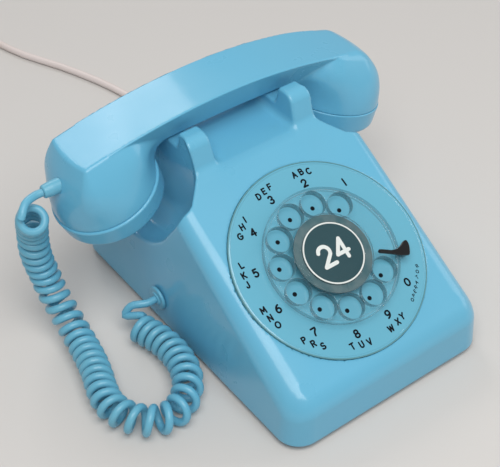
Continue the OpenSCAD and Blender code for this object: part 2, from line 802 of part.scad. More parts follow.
// Rocking lever: one arm under each plunger, joined by a tube on the axle
module hook_lever() {
    tube_half = bracket_half - hook_t;
    color(steel) difference() {
        union() {
            translate([0, axle_y, lever_z]) x_cylinder(axle_r + 2, -tube_half, tube_half);
            both_sides() translate([tube_half - 4, axle_y - lever_arm + 6, lever_z - 1.5])
                cube([3, lever_arm - 6, 3]);
            translate([0, axle_y - lever_arm + 8, lever_z]) x_cylinder(1.5, -plunger_x, plunger_x);
            both_sides() translate([plunger_x - 1.5, axle_y - lever_arm, lever_z - 1.5]) cube([3, 8, 3]);
            translate([0, axle_y - lever_arm, lever_z]) both_sides() x_cylinder(lever_r, plunger_x - 3, plunger_x + 3);
            translate([-2, axle_y - 1.5, lever_z - 26]) cube([4, 3, 24]);
        }
        translate([0, axle_y, lever_z]) x_cylinder(axle_r + axle_clear, -body_r, body_r);
    }
}

module hook_contacts() {
    color(inner_black) translate([-8, axle_y - 1, 42]) cube([16, 6, 8]);
    color(brass) for (i = [0:2]) translate([-5, axle_y + 1.8 + 1.3 * i, 50]) cube([10, 0.4, 9]);
}

// ---------------------------------------------------------------- network and ringer

net_w = body_r - 30.3;
net_d = 70;
net_h = 26;
net_x = body_r - 8.3 - net_w / 2;
net_y = rear_y0 - 70;

module network_block() {
    color(steel) translate([net_x - net_w / 2, net_y - net_d / 2, base_top_z]) cube([net_w, net_d, net_h]);
}

module network_cover() {
    color(inner_white) translate([net_x - net_w / 2, net_y - net_d / 2, base_top_z + net_h]) difference() {
        cube([net_w, net_d, 2]);
        for (i = [0:5]) translate([4, 8 + 11 * i, -1]) cylinder(r = 1.2, h = 4);
    }
    color(brass) translate([net_x - net_w / 2, net_y - net_d / 2, base_top_z + net_h + 2])
        for (i = [0:5], x = [10, net_w - 8]) translate([x, 8 + 11 * i, 0]) cylinder(r = 2.4, h = 1.5);
}

gong_r = 21;
gong_h = 12;
gong_z = base_top_z + 8;
gong_x = 24;
gong_y = front_y + 28;
coil_y = gong_y + 48;
ringer_t = 1.6;

module ringer_frame() {
    color(steel) difference() {
        union() {
            translate([-34, gong_y - 6, base_top_z]) cube([68, 62, ringer_t]);
            for (x = [-1, 1]) translate([x * gong_x, gong_y, base_top_z]) cylinder(r = 3.5, h = gong_z - base_top_z);
            translate([-4, coil_y - 10.2, base_top_z]) cube([8, ringer_t, 20]);
            for (y = [-4.4, 2.8]) translate([loudness_x - 4, loudness_y + y, base_top_z])
                cube([8, ringer_t, loudness_z - base_top_z + 4]);
            for (x = [-1, 1]) translate([x * 19 - 1, coil_y - 6, base_top_z]) cube([2, 12, 18]);
        }
        for (x = [-1, 1]) translate([x * gong_x, gong_y, base_top_z]) cylinder(r = 1.5, h = 20);
        translate([loudness_x - loudness_r - 1, loudness_y - 2.6, 0])
            cube([2 * loudness_r + 2, 5.2, 2 * base_top_z]);
        translate([0, clapper_y, base_top_z - 1]) cylinder(r = 1.6, h = 4);
    }
    color(steel) translate([loudness_x, loudness_y + 4.4, loudness_z]) rotate([90, 0, 0])
        cylinder(r = 1.5, h = 8.8);
}

module ringer_coil() {
    color(copper) translate([0, coil_y, base_top_z + 10]) x_cylinder(7.5, -16, 16);
    color(inner_white) translate([0, coil_y, base_top_z + 10]) for (x = [-18, 16]) x_cylinder(8.2, x, x + 2);
}

// Brass bell, open underneath
module gong() {
    color(brass) translate([0, 0, gong_z]) difference() {
        union() {
            cylinder(r = gong_r, h = gong_h - 4);
            translate([0, 0, gong_h - 4]) cylinder(r1 = gong_r, r2 = gong_r - 6, h = 4);
        }
        translate([0, 0, -1]) cylinder(r = gong_r - 1.4, h = gong_h - 4 + 1);
        translate([0, 0, gong_h - 4 - eps]) cylinder(r1 = gong_r - 1.4, r2 = gong_r - 5.5, h = 2.6);
        cylinder(r = 1.6, h = 50, center = true);
    }
    color(brass) translate([0, 0, gong_z]) ring(4, 1.6, gong_h - 1.4);
}

module gong_left() {
    translate([-gong_x, gong_y, 0]) gong();
}

module gong_right() {
    translate([gong_x, gong_y, 0]) gong();
}

module gong_screws() {
    color(steel) for (x = [-1, 1]) translate([x * gong_x, gong_y, 0]) {
        translate([0, 0, gong_z + gong_h]) cylinder(r = 3.2, h = 1.6);
        translate([0, 0, base_top_z + 3]) cylinder(r = 1.4, h = gong_z + gong_h - base_top_z - 3);
    }
}

clapper_y = gong_y + 34;
clapper_swing = 2.6;
ball_r = 2;

// Arm on an upright pin, with a ball between the two gongs
module clapper() {
    color(steel) translate([0, clapper_y, 0]) {
        difference() {
            union() {
                translate([0, 0, base_top_z + 5]) cylinder(r = 3, h = 8);
                translate([-1, gong_y - clapper_y, base_top_z + 11]) cube([2, clapper_y - gong_y - 2, 2]);
            }
            translate([0, 0, base_top_z]) cylinder(r = 1.5 + axle_clear, h = 30);
        }
        translate([0, gong_y - clapper_y, base_top_z + 9]) cylinder(r = ball_r, h = 6);
    }
}

module clapper_pin() {
    color(steel) translate([0, clapper_y, 0]) {
        translate([0, 0, base_top_z]) cylinder(r = 1.5, h = 15);
        translate([0, 0, base_top_z + ringer_t]) ring(3, 1.5, 3);
        translate([0, 0, base_top_z + 13.2]) ring(3, 1.5, 1.8);
    }
}

loudness_x = 27;
loudness_y = gong_y + 28;
loudness_r = 10;
loudness_z = 11.6;

// Thumb wheel that reaches through the base plate
module loudness_wheel() {
    color(inner_white) translate([loudness_x, loudness_y, loudness_z]) rotate([90, 0, 0])
        translate([0, 0, -1.5]) difference() {
            cylinder(r = loudness_r, h = 3);
            for (i = [0:17]) at_angle(20 * i, loudness_r + 0.4) translate([0, 0, -1]) cylinder(r = 0.9, h = 5);
            translate([0, 0, -1]) cylinder(r = 1.5 + axle_clear, h = 5);
        }
}

// ---------------------------------------------------------------- handset

// Cross section of the handle at x
function handle_section(x) = let (
        top = strip_z(x), over = max(0, abs(x) - scoop_wall_x),
        low = handle_bottom_z - 0.09 * over * over,
        a = handle_top_w / 2, b = handle_bottom_w / 2
    ) [
        [a, top - 2.4], [a - 1.4, top - 0.6], [a / 3, top], [-a / 3, top], [-a + 1.4, top - 0.6], [-a, top - 2.4],
        [-b - 0.6, low + 4], [-b + 1.8, low + 0.8], [-b / 3, low], [b / 3, low], [b - 1.8, low + 0.8], [b + 0.6, low + 4],
    ];

handle_bend = (handle_end - scoop_wall_x) / 3;
handle_x = concat(
    [for (i = [3:-1:0]) -scoop_wall_x - handle_bend * i],
    scoop_wall_x * [-0.6, -0.3, 0, 0.3, 0.6],
    [for (i = [0:3]) scoop_wall_x + handle_bend * i]
);

module handle() {
    rows = [for (x = handle_x) [for (p = handle_section(x)) [x, cradle_y + p[0], p[1]]]];
    n = len(rows[0]);
    points = [for (r = rows) each r];
    skin = [
        for (i = [0:len(rows) - 2]) for (j = [0:n - 1])
            let (k = (j + 1) % n, a = i * n + j, b = i * n + k)
            each [[a, a + n, b], [b, a + n, b + n]]
    ];
    first = [for (j = [1:n - 2]) [0, j, j + 1]];
    last = [for (j = [1:n - 2]) [len(points) - n, len(points) - n + j + 1, len(points) - n + j]];
    polyhedron(points, concat(skin, first, last));
}

// Cup from the flat top strip down to the round seam
module cup(seam, tilt, start, end) {
    hull() {
        on_seam(seam, tilt) cylinder(r = cap_r, h = 1);
        on_seam(seam, tilt) for (h = [8, 16, 24, 30])
            translate([0, 0, h]) cylinder(r = cap_r * sqrt(1 - pow(h / cup_rise, 2)), h = 0.1);
        for (x = [for (i = [0:4]) start + (end - start) * i / 4]) {
            translate([x - 0.5, cradle_y - handle_top_w / 2, strip_z(x) - 3.4]) cube([1, handle_top_w, 1]);
            translate([x - 0.5, cradle_y - handle_top_w / 2 + 1.4, strip_z(x) - 1]) cube([1, handle_top_w - 2.8, 1]);
        }
    }
}

module cup_hollow() {
    translate([0, 0, -1]) cylinder(r = neck_r - neck_t, h = 10);
    translate([0, 0, 9 - eps]) cylinder(r1 = neck_r - neck_t, r2 = 8, h = 17);
}

module handset_shell() {
    color(shell_blue) difference() {
        union() {
            handle();
            cup(left_seam, left_tilt, -handle_end + 1, strip_end_left);
            cup(right_seam, right_tilt, handle_end - 1, strip_end_right);
            on_seam(left_seam, left_tilt) translate([0, 0, -neck_h]) cylinder(r = neck_r, h = neck_h + 1);
            on_seam(right_seam, right_tilt) translate([0, 0, -neck_h]) cylinder(r = neck_r, h = neck_h + 1);
        }
        on_seam(left_seam, left_tilt) translate([0, 0, -neck_h]) cup_hollow();
        on_seam(left_seam, left_tilt) cup_hollow();
        on_seam(right_seam, right_tilt) translate([0, 0, -neck_h]) cup_hollow();
        on_seam(right_seam, right_tilt) cup_hollow();
        translate([0, cradle_y, 114.5]) x_cylinder(3, left_seam[0] - 3.6, right_seam[0] - 3.3);
        translate([relief_end_x, cradle_y, relief_z]) x_cylinder(relief_r, -5, 22);
    }
}

// Screw cap, with its rim at the seam and its face down
module cap(rings) {
    difference() {
        translate([0, 0, -cap_h]) cylinder(r1 = cap_r - 1.2, r2 = cap_r, h = cap_h);
        translate([0, 0, -cap_h + cap_wall]) cylinder(r = cap_r - cap_wall, h = cap_h);
        for (r = rings) for (i = [0:r[1] - 1]) at_angle(360 * i / r[1], r[0])
            translate([0, 0, -cap_h - 1]) cylinder(r = 1.3, h = cap_wall + 2, $fn = 16);
    }
}

module transmitter_cap() {
    color(shell_blue) on_seam(left_seam, left_tilt) cap([[0, 1], [7, 6], [14, 12]]);
}

module receiver_cap() {
    color(shell_blue) on_seam(right_seam, right_tilt) cap([[0, 1], [6, 6]]);
}

module capsule() {
    translate([0, 0, -cap_h + cap_wall]) {
        cylinder(r = unit_r, h = 6);
        translate([0, 0, 6]) cylinder(r1 = unit_r, r2 = unit_r - 6, h = 3);
    }
}

module transmitter_unit() {
    color(steel) on_seam(left_seam, left_tilt) capsule();
}

module receiver_unit() {
    color(steel) on_seam(right_seam, right_tilt) capsule();
}

module contact_cup() {
    color(inner_black) on_seam(left_seam, left_tilt) translate([0, 0, -cap_h + cap_wall + 9])
        ring(unit_r - 2, 6, 3);
}

module handset_cord_relief() {
    color(shell_blue) translate([0, cradle_y, relief_z])
        x_cylinder(relief_r - 0.05, relief_end_x, relief_end_x + 17);
}

// ---------------------------------------------------------------- cords

module handset_cord() {
    color(shell_blue) tube(handset_cord_path, curl_wire_d, tube_sides);
}

module line_cord() {
    color(cord_white) tube(line_path, line_d, 8);
}

module line_cord_coil() {
    color(cord_white) tube(stored_path, line_d, tube_sides);
}

// Paper band around the turns of the coil
module cord_tie() {
    low = coil_outer_r - coil_step * half_turns - line_d / 2 - tie_gap;
    high = coil_outer_r - coil_step / 2 + line_d / 2 + tie_gap;
    rise = line_d + layer_step + 2 * tie_gap;
    color(cord_white) translate([coil_centre[0], coil_centre[1], 0.1]) rotate([0, 0, 190]) difference() {
        translate([low - tie_t, -tie_w / 2, 0]) cube([high - low + 2 * tie_t, tie_w, rise + 2 * tie_t]);
        translate([low, -tie_w, tie_t]) cube([high - low, 2 * tie_w, rise]);
    }
}

plug_l = 22;

module line_plug() {
    end = stored_path[len(stored_path) - 1];
    way = atan2(coil_last_way[1], coil_last_way[0]);
    color(clear) translate(end) rotate([0, 0, way]) {
        translate([0, -6, -4]) cube([plug_l - 7, 12, 8]);
        translate([plug_l - 7, -4.8, -3.3]) cube([7, 9.6, 6.6]);
        translate([5, -1.6, 4]) cube([plug_l - 9, 3.2, 1.2]);
    }
}

// ---------------------------------------------------------------- assembly

housing();
base_plate();
rubber_feet();
housing_screws();
handset_cord_grommet();
line_cord_grommet();
number_plate();
dial_frame();
dial_bracket();
dial_screws();
dial_bearing();
finger_stop();
pulse_contacts();
governor_cup();
finger_wheel();
wheel_clamp();
number_card();
card_cover();
dial_shaft();
main_gear();
return_spring();
pulse_cam();
governor_rotor();
plunger_left();
plunger_right();
hook_bracket();
hook_lever();
hook_axle();
hook_contacts();
network_block();
network_cover();
ringer_frame();
ringer_coil();
gong_left();
gong_right();
gong_screws();
clapper();
clapper_pin();
loudness_wheel();
handset_shell();
transmitter_cap();
receiver_cap();
transmitter_unit();
receiver_unit();
contact_cup();
handset_cord_relief();
handset_cord();
line_cord();
line_cord_coil();
cord_tie();
line_plug();
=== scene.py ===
import json
import math

import bmesh
import bpy
import numpy as np
from mathutils import Matrix, Vector


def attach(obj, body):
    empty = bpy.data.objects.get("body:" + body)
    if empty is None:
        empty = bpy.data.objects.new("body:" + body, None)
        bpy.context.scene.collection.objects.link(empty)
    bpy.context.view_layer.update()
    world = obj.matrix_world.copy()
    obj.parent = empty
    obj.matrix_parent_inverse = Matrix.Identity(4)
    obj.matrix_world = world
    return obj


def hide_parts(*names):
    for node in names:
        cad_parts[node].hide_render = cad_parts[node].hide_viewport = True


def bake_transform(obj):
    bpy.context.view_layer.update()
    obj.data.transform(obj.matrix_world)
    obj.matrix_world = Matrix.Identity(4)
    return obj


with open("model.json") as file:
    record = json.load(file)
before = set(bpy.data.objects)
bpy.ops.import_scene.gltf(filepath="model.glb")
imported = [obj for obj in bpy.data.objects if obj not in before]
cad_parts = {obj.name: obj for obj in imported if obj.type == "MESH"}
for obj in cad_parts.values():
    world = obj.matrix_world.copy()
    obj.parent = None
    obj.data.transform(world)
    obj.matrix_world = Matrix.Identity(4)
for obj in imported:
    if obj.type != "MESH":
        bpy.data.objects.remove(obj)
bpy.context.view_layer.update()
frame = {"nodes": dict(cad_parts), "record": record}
MM = 0.001  # Shapes are made in millimetres

# ---------------------------------------------------------------- camera

# Solved from the photograph, whose width and focal length are in pixels
PHOTO_WIDTH, FOCAL_LENGTH, SENSOR_WIDTH = 500, 1266.815, 36
camera = bpy.data.objects.new("camera", bpy.data.cameras.new("camera"))
camera.data.sensor_width = SENSOR_WIDTH
camera.data.lens = SENSOR_WIDTH * FOCAL_LENGTH / PHOTO_WIDTH
camera.data.clip_start, camera.data.clip_end = 0.01, 20
across = Vector((0.805706, -0.591648, -0.028102))
ahead = Vector((0.425348, 0.610952, -0.667695))
upward = across.cross(ahead)
camera.matrix_world = Matrix.Translation((-0.322049, -0.439833, 0.535860)) @ Matrix(
    (across, upward, -ahead)).transposed().to_4x4()
bpy.context.scene.collection.objects.link(camera)
bpy.context.scene.camera = camera

# ---------------------------------------------------------------- meshes


def even_normals(mesh, limit=0.77):
    """Corner normals that keep the large faces flat and shade only the roundings between them."""
    ways = [f.normal * f.area for f in mesh.polygons]
    around = [[] for _ in mesh.vertices]
    for f in mesh.polygons:
        for v in f.vertices:
            around[v].append(f.index)
    normals = []
    for f in mesh.polygons:
        for v in f.vertices:
            near = [ways[i] for i in around[v] if mesh.polygons[i].normal.dot(f.normal) > limit]
            normals.append(sum(near, Vector()).normalized())
    mesh.normals_split_custom_set(normals)


def piece(name, points, faces, material, body, slot, normals=None, smooth=True):
    """A mesh object from points in millimetres. Faces are an array of quads or a list of any faces."""
    mesh = bpy.data.meshes.new(name)
    points = np.asarray(points, float) * MM
    if isinstance(faces, np.ndarray):
        mesh.vertices.add(len(points))
        mesh.vertices.foreach_set("co", points.astype(np.float32).ravel())
        mesh.loops.add(faces.size)
        mesh.loops.foreach_set("vertex_index", faces.astype(np.int32).ravel())
        mesh.polygons.add(len(faces))
        starts = faces.shape[1] * np.arange(len(faces))
        mesh.polygons.foreach_set("loop_start", starts.astype(np.int32))
        mesh.update(calc_edges=True)
    else:
        mesh.from_pydata(points.tolist(), [], [list(f) for f in faces])
    mesh.polygons.foreach_set("use_smooth", [smooth] * len(mesh.polygons))
    if normals is not None:
        mesh.normals_split_custom_set(np.asarray(normals, float).tolist())
    elif smooth:
        even_normals(mesh)
    mesh.materials.append(material)
    obj = bpy.data.objects.new(name, mesh)
    bpy.context.scene.collection.objects.link(obj)
    if body:
        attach(obj, body)
    return obj


def round_max(parts, r):
    """Where all the half spaces meet, with the edge between them rounded off."""
    over = sum(np.maximum(d + r, 0) ** 2 for d in parts)
    return np.minimum(np.maximum.reduce(np.broadcast_arrays(*parts)), -r) + np.sqrt(over)


def soft_min(a, b, k):
    """Two solids joined, with a fillet about k wide between them."""
    h = np.maximum(k - np.abs(a - b), 0) / k
    return np.minimum(a, b) - h * h * k / 4


def step_up(x, a, b):
    """0 up to a, 1 from b on, and a smooth rise between them."""
    t = np.clip((x - a) / (b - a), 0, 1)
    return t * t * (3 - 2 * t)


def gradient(f, p, h=0.03):
    """Slope of f at each point, from its values h away on both sides."""
    g = np.empty_like(p)
    for i in range(3):
        q = p.copy()
        q[:, i] += h
        g[:, i] = f(*q.T)
        q[:, i] -= 2 * h
        g[:, i] -= f(*q.T)
    return g / (2 * h)


HOLD = 0.03  # How firmly a point is held to the middle of its cell's crossings
NO_EDGE = 0.97  # Slopes that agree this well have no edge between them


def surface(f, low, high, step):
    """Points, quads and corner normals of the surface where f is zero, with its sharp edges kept."""
    low = np.array(low, float)
    n = np.ceil((np.array(high) - low) / step).astype(int) + 1
    axes = [low[i] + step * np.arange(n[i]) for i in range(3)]
    values = f(*np.meshgrid(*axes, indexing="ij"))
    inside = values < 0
    units = np.eye(3, dtype=int)
    # Crossings of the grid lines
    found, number = [], []
    start = 0
    for axis in range(3):
        first = tuple(slice(0, n[i] - (i == axis)) for i in range(3))
        second = tuple(slice(int(i == axis), n[i]) for i in range(3))
        e = np.argwhere(inside[first] != inside[second])
        va, vb = values[tuple(e.T)], values[tuple((e + units[axis]).T)]
        found.append(low + step * (e + (va / (va - vb))[:, None] * units[axis]))
        ids = np.full(n, -1)
        ids[tuple(e.T)] = start + np.arange(len(e))
        number.append(ids)
        start += len(e)
    found = np.concatenate(found)
    slopes = gradient(f, found)
    slopes /= np.maximum(np.linalg.norm(slopes, axis=1), 1e-9)[:, None]
    count = sum(inside[i:n[0] - 1 + i, j:n[1] - 1 + j, k:n[2] - 1 + k].astype(np.int8)
                for i in (0, 1) for j in (0, 1) for k in (0, 1))
    cells = np.argwhere((count > 0) & (count < 8))
    index = np.full(n - 1, -1)
    index[tuple(cells.T)] = np.arange(len(cells))
    near = []
    for axis in range(3):
        one, two = units[(axis + 1) % 3], units[(axis + 2) % 3]
        near += [number[axis][tuple((cells + i * one + j * two).T)] for i in (0, 1) for j in (0, 1)]
    near = np.stack(near, 1)
    hit = (near >= 0)[:, :, None]
    middle = (found[near] * hit).sum(1) / hit.sum(1)
    # The point that lies best on the tangent planes of the cell's crossings
    way = slopes[near] * hit
    off = ((found[near] - middle[:, None]) * way).sum(2)
    square = np.einsum("nki,nkj->nij", way, way) + HOLD * np.eye(3)
    move = np.linalg.solve(square, np.einsum("nki,nk->ni", way, off)[:, :, None])[:, :, 0]
    corner = low + step * cells
    p = np.clip(middle + move, corner - 0.05 * step, corner + 1.05 * step)
    mean = way.sum(1) / hit.sum(1)
    flat = np.linalg.norm(mean, axis=1) > NO_EDGE
    # Points away from edges are drawn onto the surface
    for _ in range(2):
        g = gradient(f, p[flat])
        away = f(*p[flat].T) / np.maximum((g * g).sum(1), 0.2)
        p[flat] -= np.clip(away, -0.3 * step, 0.3 * step)[:, None] * g
    # One quad round each crossed grid line
    quads = []
    for axis in range(3):
        one, two = units[(axis + 1) % 3], units[(axis + 2) % 3]
        own = np.arange(3) == axis
        a, b = np.moveaxis(inside, axis, 0)[:-1], np.moveaxis(inside, axis, 0)[1:]
        for edge, flipped in ((a & ~b, False), (b & ~a, True)):
            e = np.argwhere(np.moveaxis(edge, 0, axis))
            e = e[(((e > 0) & (e < n - 1)) | own).all(1)]
            ring = [e - one - two, e - two, e, e - one]
            if flipped:
                ring = ring[::-1]
            quads.append(np.stack([index[tuple(c.T)] for c in ring], 1))
    quads = np.concatenate(quads)
    corners = p[quads]
    sample = (0.7 * corners + 0.3 * corners.mean(1, keepdims=True)).reshape(-1, 3)
    g = gradient(f, sample)
    return p, quads, g / np.maximum(np.linalg.norm(g, axis=1), 1e-9)[:, None]


def lathe(profile, count, place):
    """A closed ring of revolution through (radius, height) points; radius 0 closes the end."""
    points, faces, rings = [], [], []
    for r, h in profile:
        if r == 0:
            rings.append([len(points)])
            points.append(place(np.array([[0, 0, h]]))[0])
        else:
            a = 2 * np.pi * np.arange(count) / count
            rings.append(list(range(len(points), len(points) + count)))
            points.extend(place(np.stack([r * np.cos(a), r * np.sin(a), 0 * a + h], 1)))
    for low, high in zip(rings, rings[1:]):
        for j in range(count):
            k = (j + 1) % count
            face = [low[j % len(low)], low[k % len(low)], high[k % len(high)], high[j % len(high)]]
            faces.append(list(dict.fromkeys(face)))
    return points, faces


def rounded(profile, radii, steps=5):
    """The profile with its corners rounded off."""
    out = []
    for i, (p, r) in enumerate(zip(profile, radii)):
        if not r or i in (0, len(profile) - 1):
            out.append(p)
            continue
        p, a, b = np.array(p, float), np.array(profile[i - 1], float), np.array(profile[i + 1], float)
        u, v = (a - p) / np.linalg.norm(a - p), (b - p) / np.linalg.norm(b - p)
        half = math.acos(np.clip(u @ v, -1, 1)) / 2
        start, end = p + u * r / math.tan(half), p + v * r / math.tan(half)
        centre = p + (u + v) / np.linalg.norm(u + v) * r / math.sin(half)
        for t in np.linspace(0, 1, steps):
            q = (1 - t) * start + t * end - centre
            out.append(tuple(centre + q / np.linalg.norm(q) * r))
    return out


def turned(profile, radii, count, place):
    """A lathe of the profile with its corners rounded off."""
    return lathe(rounded(profile, radii), count, place)


# ---------------------------------------------------------------- places

FACE = math.radians(31.2)  # Slope of the housing's face
DIAL = np.array([0, -51.4, 64.9])  # Middle of the dial, on that face
DIAL_AXES = np.array([
    [1, 0, 0], [0, math.cos(FACE), math.sin(FACE)], [0, -math.sin(FACE), math.cos(FACE)]])
CRADLE_Y = 49.7  # Middle of the cradle and of the handset
# Seam between each cap and the handset: x, z and slant in degrees
LEFT = (-78.4, 90.0, 20.1)
RIGHT = (81.3, 82.7, -15.9)


def on_dial(p):
    """From the dial's own frame, whose z axis stands on the face, to the telephone's."""
    return DIAL + np.asarray(p, float) @ DIAL_AXES


def seam_place(seam):
    """Placement from a seam's own frame, whose z axis points into the handset."""
    t = math.radians(seam[2])
    axes = np.array([[math.cos(t), 0, math.sin(t)], [0, 1, 0], [-math.sin(t), 0, math.cos(t)]])
    return lambda p: np.array([seam[0], CRADLE_Y, seam[1]]) + np.asarray(p, float) @ axes


# ---------------------------------------------------------------- materials


def material(name, colour, rough=0.3, tint=None, patch=9.0, grain=700.0, bump=0.02, **values):
    """Principled material whose colour drifts slowly, with uneven gloss and a fine bump."""
    m = bpy.data.materials.new(name)
    m.use_nodes = True
    nodes, links = m.node_tree.nodes, m.node_tree.links
    shader = nodes["Principled BSDF"]
    for key, value in values.items():
        shader.inputs[key.replace("_", " ")].default_value = value
    where = nodes.new("ShaderNodeTexCoord")

    def noise(scale, detail):
        n = nodes.new("ShaderNodeTexNoise")
        n.inputs["Scale"].default_value = scale
        n.inputs["Detail"].default_value = detail
        links.new(where.outputs["Object"], n.inputs["Vector"])
        return n.outputs["Fac"]

    def span(source, low, high):
        s = nodes.new("ShaderNodeMapRange")
        for key, value in (("From Min", 0.3), ("From Max", 0.7), ("To Min", low), ("To Max", high)):
            s.inputs[key].default_value = value
        links.new(source, s.inputs["Value"])
        return s.outputs["Result"]

    mix = nodes.new("ShaderNodeMix")
    mix.data_type = "RGBA"
    mix.inputs["A"].default_value = (*colour, 1)
    mix.inputs["B"].default_value = (*(tint or [c * 0.93 for c in colour]), 1)
    links.new(span(noise(patch, 4.0), 0, 1), mix.inputs["Factor"])
    links.new(mix.outputs["Result"], shader.inputs["Base Color"])
    links.new(span(noise(38.0, 6.0), rough * 0.8, rough * 1.25), shader.inputs["Roughness"])
    raised = nodes.new("ShaderNodeBump")
    raised.inputs["Strength"].default_value = 1.0
    raised.inputs["Distance"].default_value = bump * MM
    links.new(noise(grain, 2.0), raised.inputs["Height"])
    links.new(raised.outputs["Normal"], shader.inputs["Normal"])
    return m


shell_plastic = material("shell_plastic", (0.130, 0.450, 0.660), 0.32, tint=(0.138, 0.445, 0.630),
                         bump=0.008, Specular_IOR_Level=0.35, Coat_Weight=0.4, Coat_Roughness=0.10)
plate_plastic = material("plate_plastic", (0.130, 0.435, 0.590), 0.16, tint=(0.138, 0.432, 0.570),
                         bump=0.006, Coat_Weight=0.6, Coat_Roughness=0.04)
rim_plastic = material("rim_plastic", (0.13, 0.33, 0.37), 0.35, bump=0.006)
clear_plastic = material("clear_plastic", (0.90, 0.97, 0.96), 0.03, tint=(0.87, 0.95, 0.94), bump=0.003,
                         Transmission_Weight=1.0, IOR=1.49, Alpha=0.55)


def clear_with_painted_wall_shade(name, face, wall, face_alpha, wall_alpha, rough, rim=1.0):
    """Clear plastic of the dial. Its walls get a painted shade, darker and denser than its faces,
    standing in for the dark surroundings seen through them; less so past rim.
    """
    m = material(name, face, rough, bump=0.002, IOR=1.49)
    nodes, links = m.node_tree.nodes, m.node_tree.links
    shader = nodes["Principled BSDF"]
    where, axis = nodes.new("ShaderNodeTexCoord"), tuple(DIAL_AXES[2])

    def node(kind, operation, second=None):
        n = nodes.new("ShaderNode" + kind)
        n.operation = operation
        if second is not None:
            n.inputs[1].default_value = second
        return n

    def ramp(from_min, from_max, to_min, to_max):
        n = nodes.new("ShaderNodeMapRange")
        n.inputs["From Min"].default_value, n.inputs["From Max"].default_value = from_min, from_max
        n.inputs["To Min"].default_value, n.inputs["To Max"].default_value = to_min, to_max
        return n

    # How squarely a side faces along the dial's axis, and the colour and alpha that follow: the sides
    # get the painted shade colour
    dot, size = node("VectorMath", "DOT_PRODUCT", axis), node("Math", "ABSOLUTE")
    square, alpha = ramp(0.35, 0.92, 0, 1), ramp(0, 1, wall_alpha, face_alpha)
    mix = nodes.new("ShaderNodeMix")
    mix.data_type = "RGBA"
    mix.inputs["A"].default_value, mix.inputs["B"].default_value = (*wall, 1), (*face, 1)
    links.new(where.outputs["Normal"], dot.inputs[0])
    links.new(dot.outputs["Value"], size.inputs[0])
    links.new(size.outputs[0], square.inputs["Value"])
    links.new(square.outputs["Result"], mix.inputs["Factor"])
    links.new(square.outputs["Result"], alpha.inputs["Value"])
    links.new(mix.outputs["Result"], shader.inputs["Base Color"])
    # Distance from the dial's axis, past which the alpha is lower, so the painted shade on the rim's
    # walls is fainter
    past = node("VectorMath", "SUBTRACT", tuple(DIAL * MM))
    cross = node("VectorMath", "CROSS_PRODUCT", axis)
    radius, both = node("VectorMath", "LENGTH"), node("Math", "MULTIPLY")
    thin = ramp(rim, rim + 0.0006, 1.0, 0.6)
    links.new(where.outputs["Object"], past.inputs[0])
    links.new(past.outputs["Vector"], cross.inputs[0])
    links.new(cross.outputs["Vector"], radius.inputs[0])
    links.new(radius.outputs["Value"], thin.inputs["Value"])
    links.new(alpha.outputs["Result"], both.inputs[0])
    links.new(thin.outputs["Result"], both.inputs[1])
    links.new(both.outputs[0], shader.inputs["Alpha"])
    links.new(square.outputs["Result"], shader.inputs["Transmission Weight"])
    return m


# The dark second colour of each is painted shade on the walls: the wheel's holes and rim, and the hub
# cover's sloped sides
wheel_plastic = clear_with_painted_wall_shade(
    "wheel_plastic", (0.93, 0.98, 0.98), (0.05, 0.13, 0.16), 0.18, 0.64, 0.04, 0.0374)
hub_plastic = clear_with_painted_wall_shade(
    "hub_plastic", (0.94, 0.98, 0.98), (0.05, 0.11, 0.13), 0.02, 0.40, 0.05)
card_paper = material("card_paper", (0.003, 0.048, 0.062), 0.6, grain=2500, bump=0.01)
card_white = material("card_white", (0.72, 0.76, 0.74), 0.5, grain=2500, bump=0.01)
cord_blue = material("cord_blue", (0.135, 0.440, 0.620), 0.30, tint=(0.145, 0.430, 0.575),
                     patch=30, grain=900, bump=0.03)
cord_pale = material("cord_pale", (0.74, 0.66, 0.64), 0.38, tint=(0.68, 0.60, 0.57),
                     patch=14, grain=800, bump=0.03)
dark_metal = material("dark_metal", (0.008, 0.008, 0.009), 0.30, Metallic=0.2, grain=1500, bump=0.01)
steel = material("steel", (0.50, 0.51, 0.52), 0.32, tint=(0.42, 0.42, 0.43),
                 Metallic=1.0, grain=1200, bump=0.01)
brushed = material("brushed", (0.05, 0.135, 0.16), 0.30, tint=(0.13, 0.20, 0.215),
                   patch=120, Metallic=0.3, grain=1800, bump=0.012)
brass = material("brass", (0.62, 0.44, 0.17), 0.3, Metallic=1.0, grain=1200, bump=0.01)
rubber = material("rubber", (0.018, 0.018, 0.018), 0.7, grain=1500, bump=0.05)
black_plastic = material("black_plastic", (0.02, 0.02, 0.022), 0.45, grain=1200, bump=0.03)
white_plastic = material("white_plastic", (0.70, 0.69, 0.63), 0.35, grain=900, bump=0.02)
base_paint = material("base_paint", (0.03, 0.03, 0.033), 0.55, grain=1600, bump=0.05)
copper_wire = material("copper_wire", (0.45, 0.17, 0.07), 0.35, Metallic=0.8, grain=1500, bump=0.05)
ink = material("ink", (0.004, 0.007, 0.011), 0.6, grain=2500, bump=0.004, Specular_IOR_Level=0.1)
tie_paper = material("tie_paper", (0.62, 0.58, 0.50), 0.8, grain=1500, bump=0.05)

# The solids wear the same finishes where they show
finishes = {
    "shell_plastic": shell_plastic, "plate_plastic": plate_plastic, "clear_plastic": clear_plastic,
    "card": card_paper, "cord_sleeve": cord_pale, "handset_cord_sleeve": cord_blue,
    "dark_steel": dark_metal, "steel": steel, "brass": brass, "rubber": rubber,
    "black_plastic": black_plastic, "white_plastic": white_plastic, "base_paint": base_paint,
    "coil_wrap": copper_wire,
}
slot_of = {n: m["slot"] for m in frame["record"]["materials"] for n in m.get("nodes", [])}
for name, node in frame["nodes"].items():
    finish = finishes.get(slot_of.get(name), shell_plastic)
    if not node.material_slots:
        node.data.materials.append(finish)
    for held in node.material_slots:
        held.material = finish

# ---------------------------------------------------------------- cords

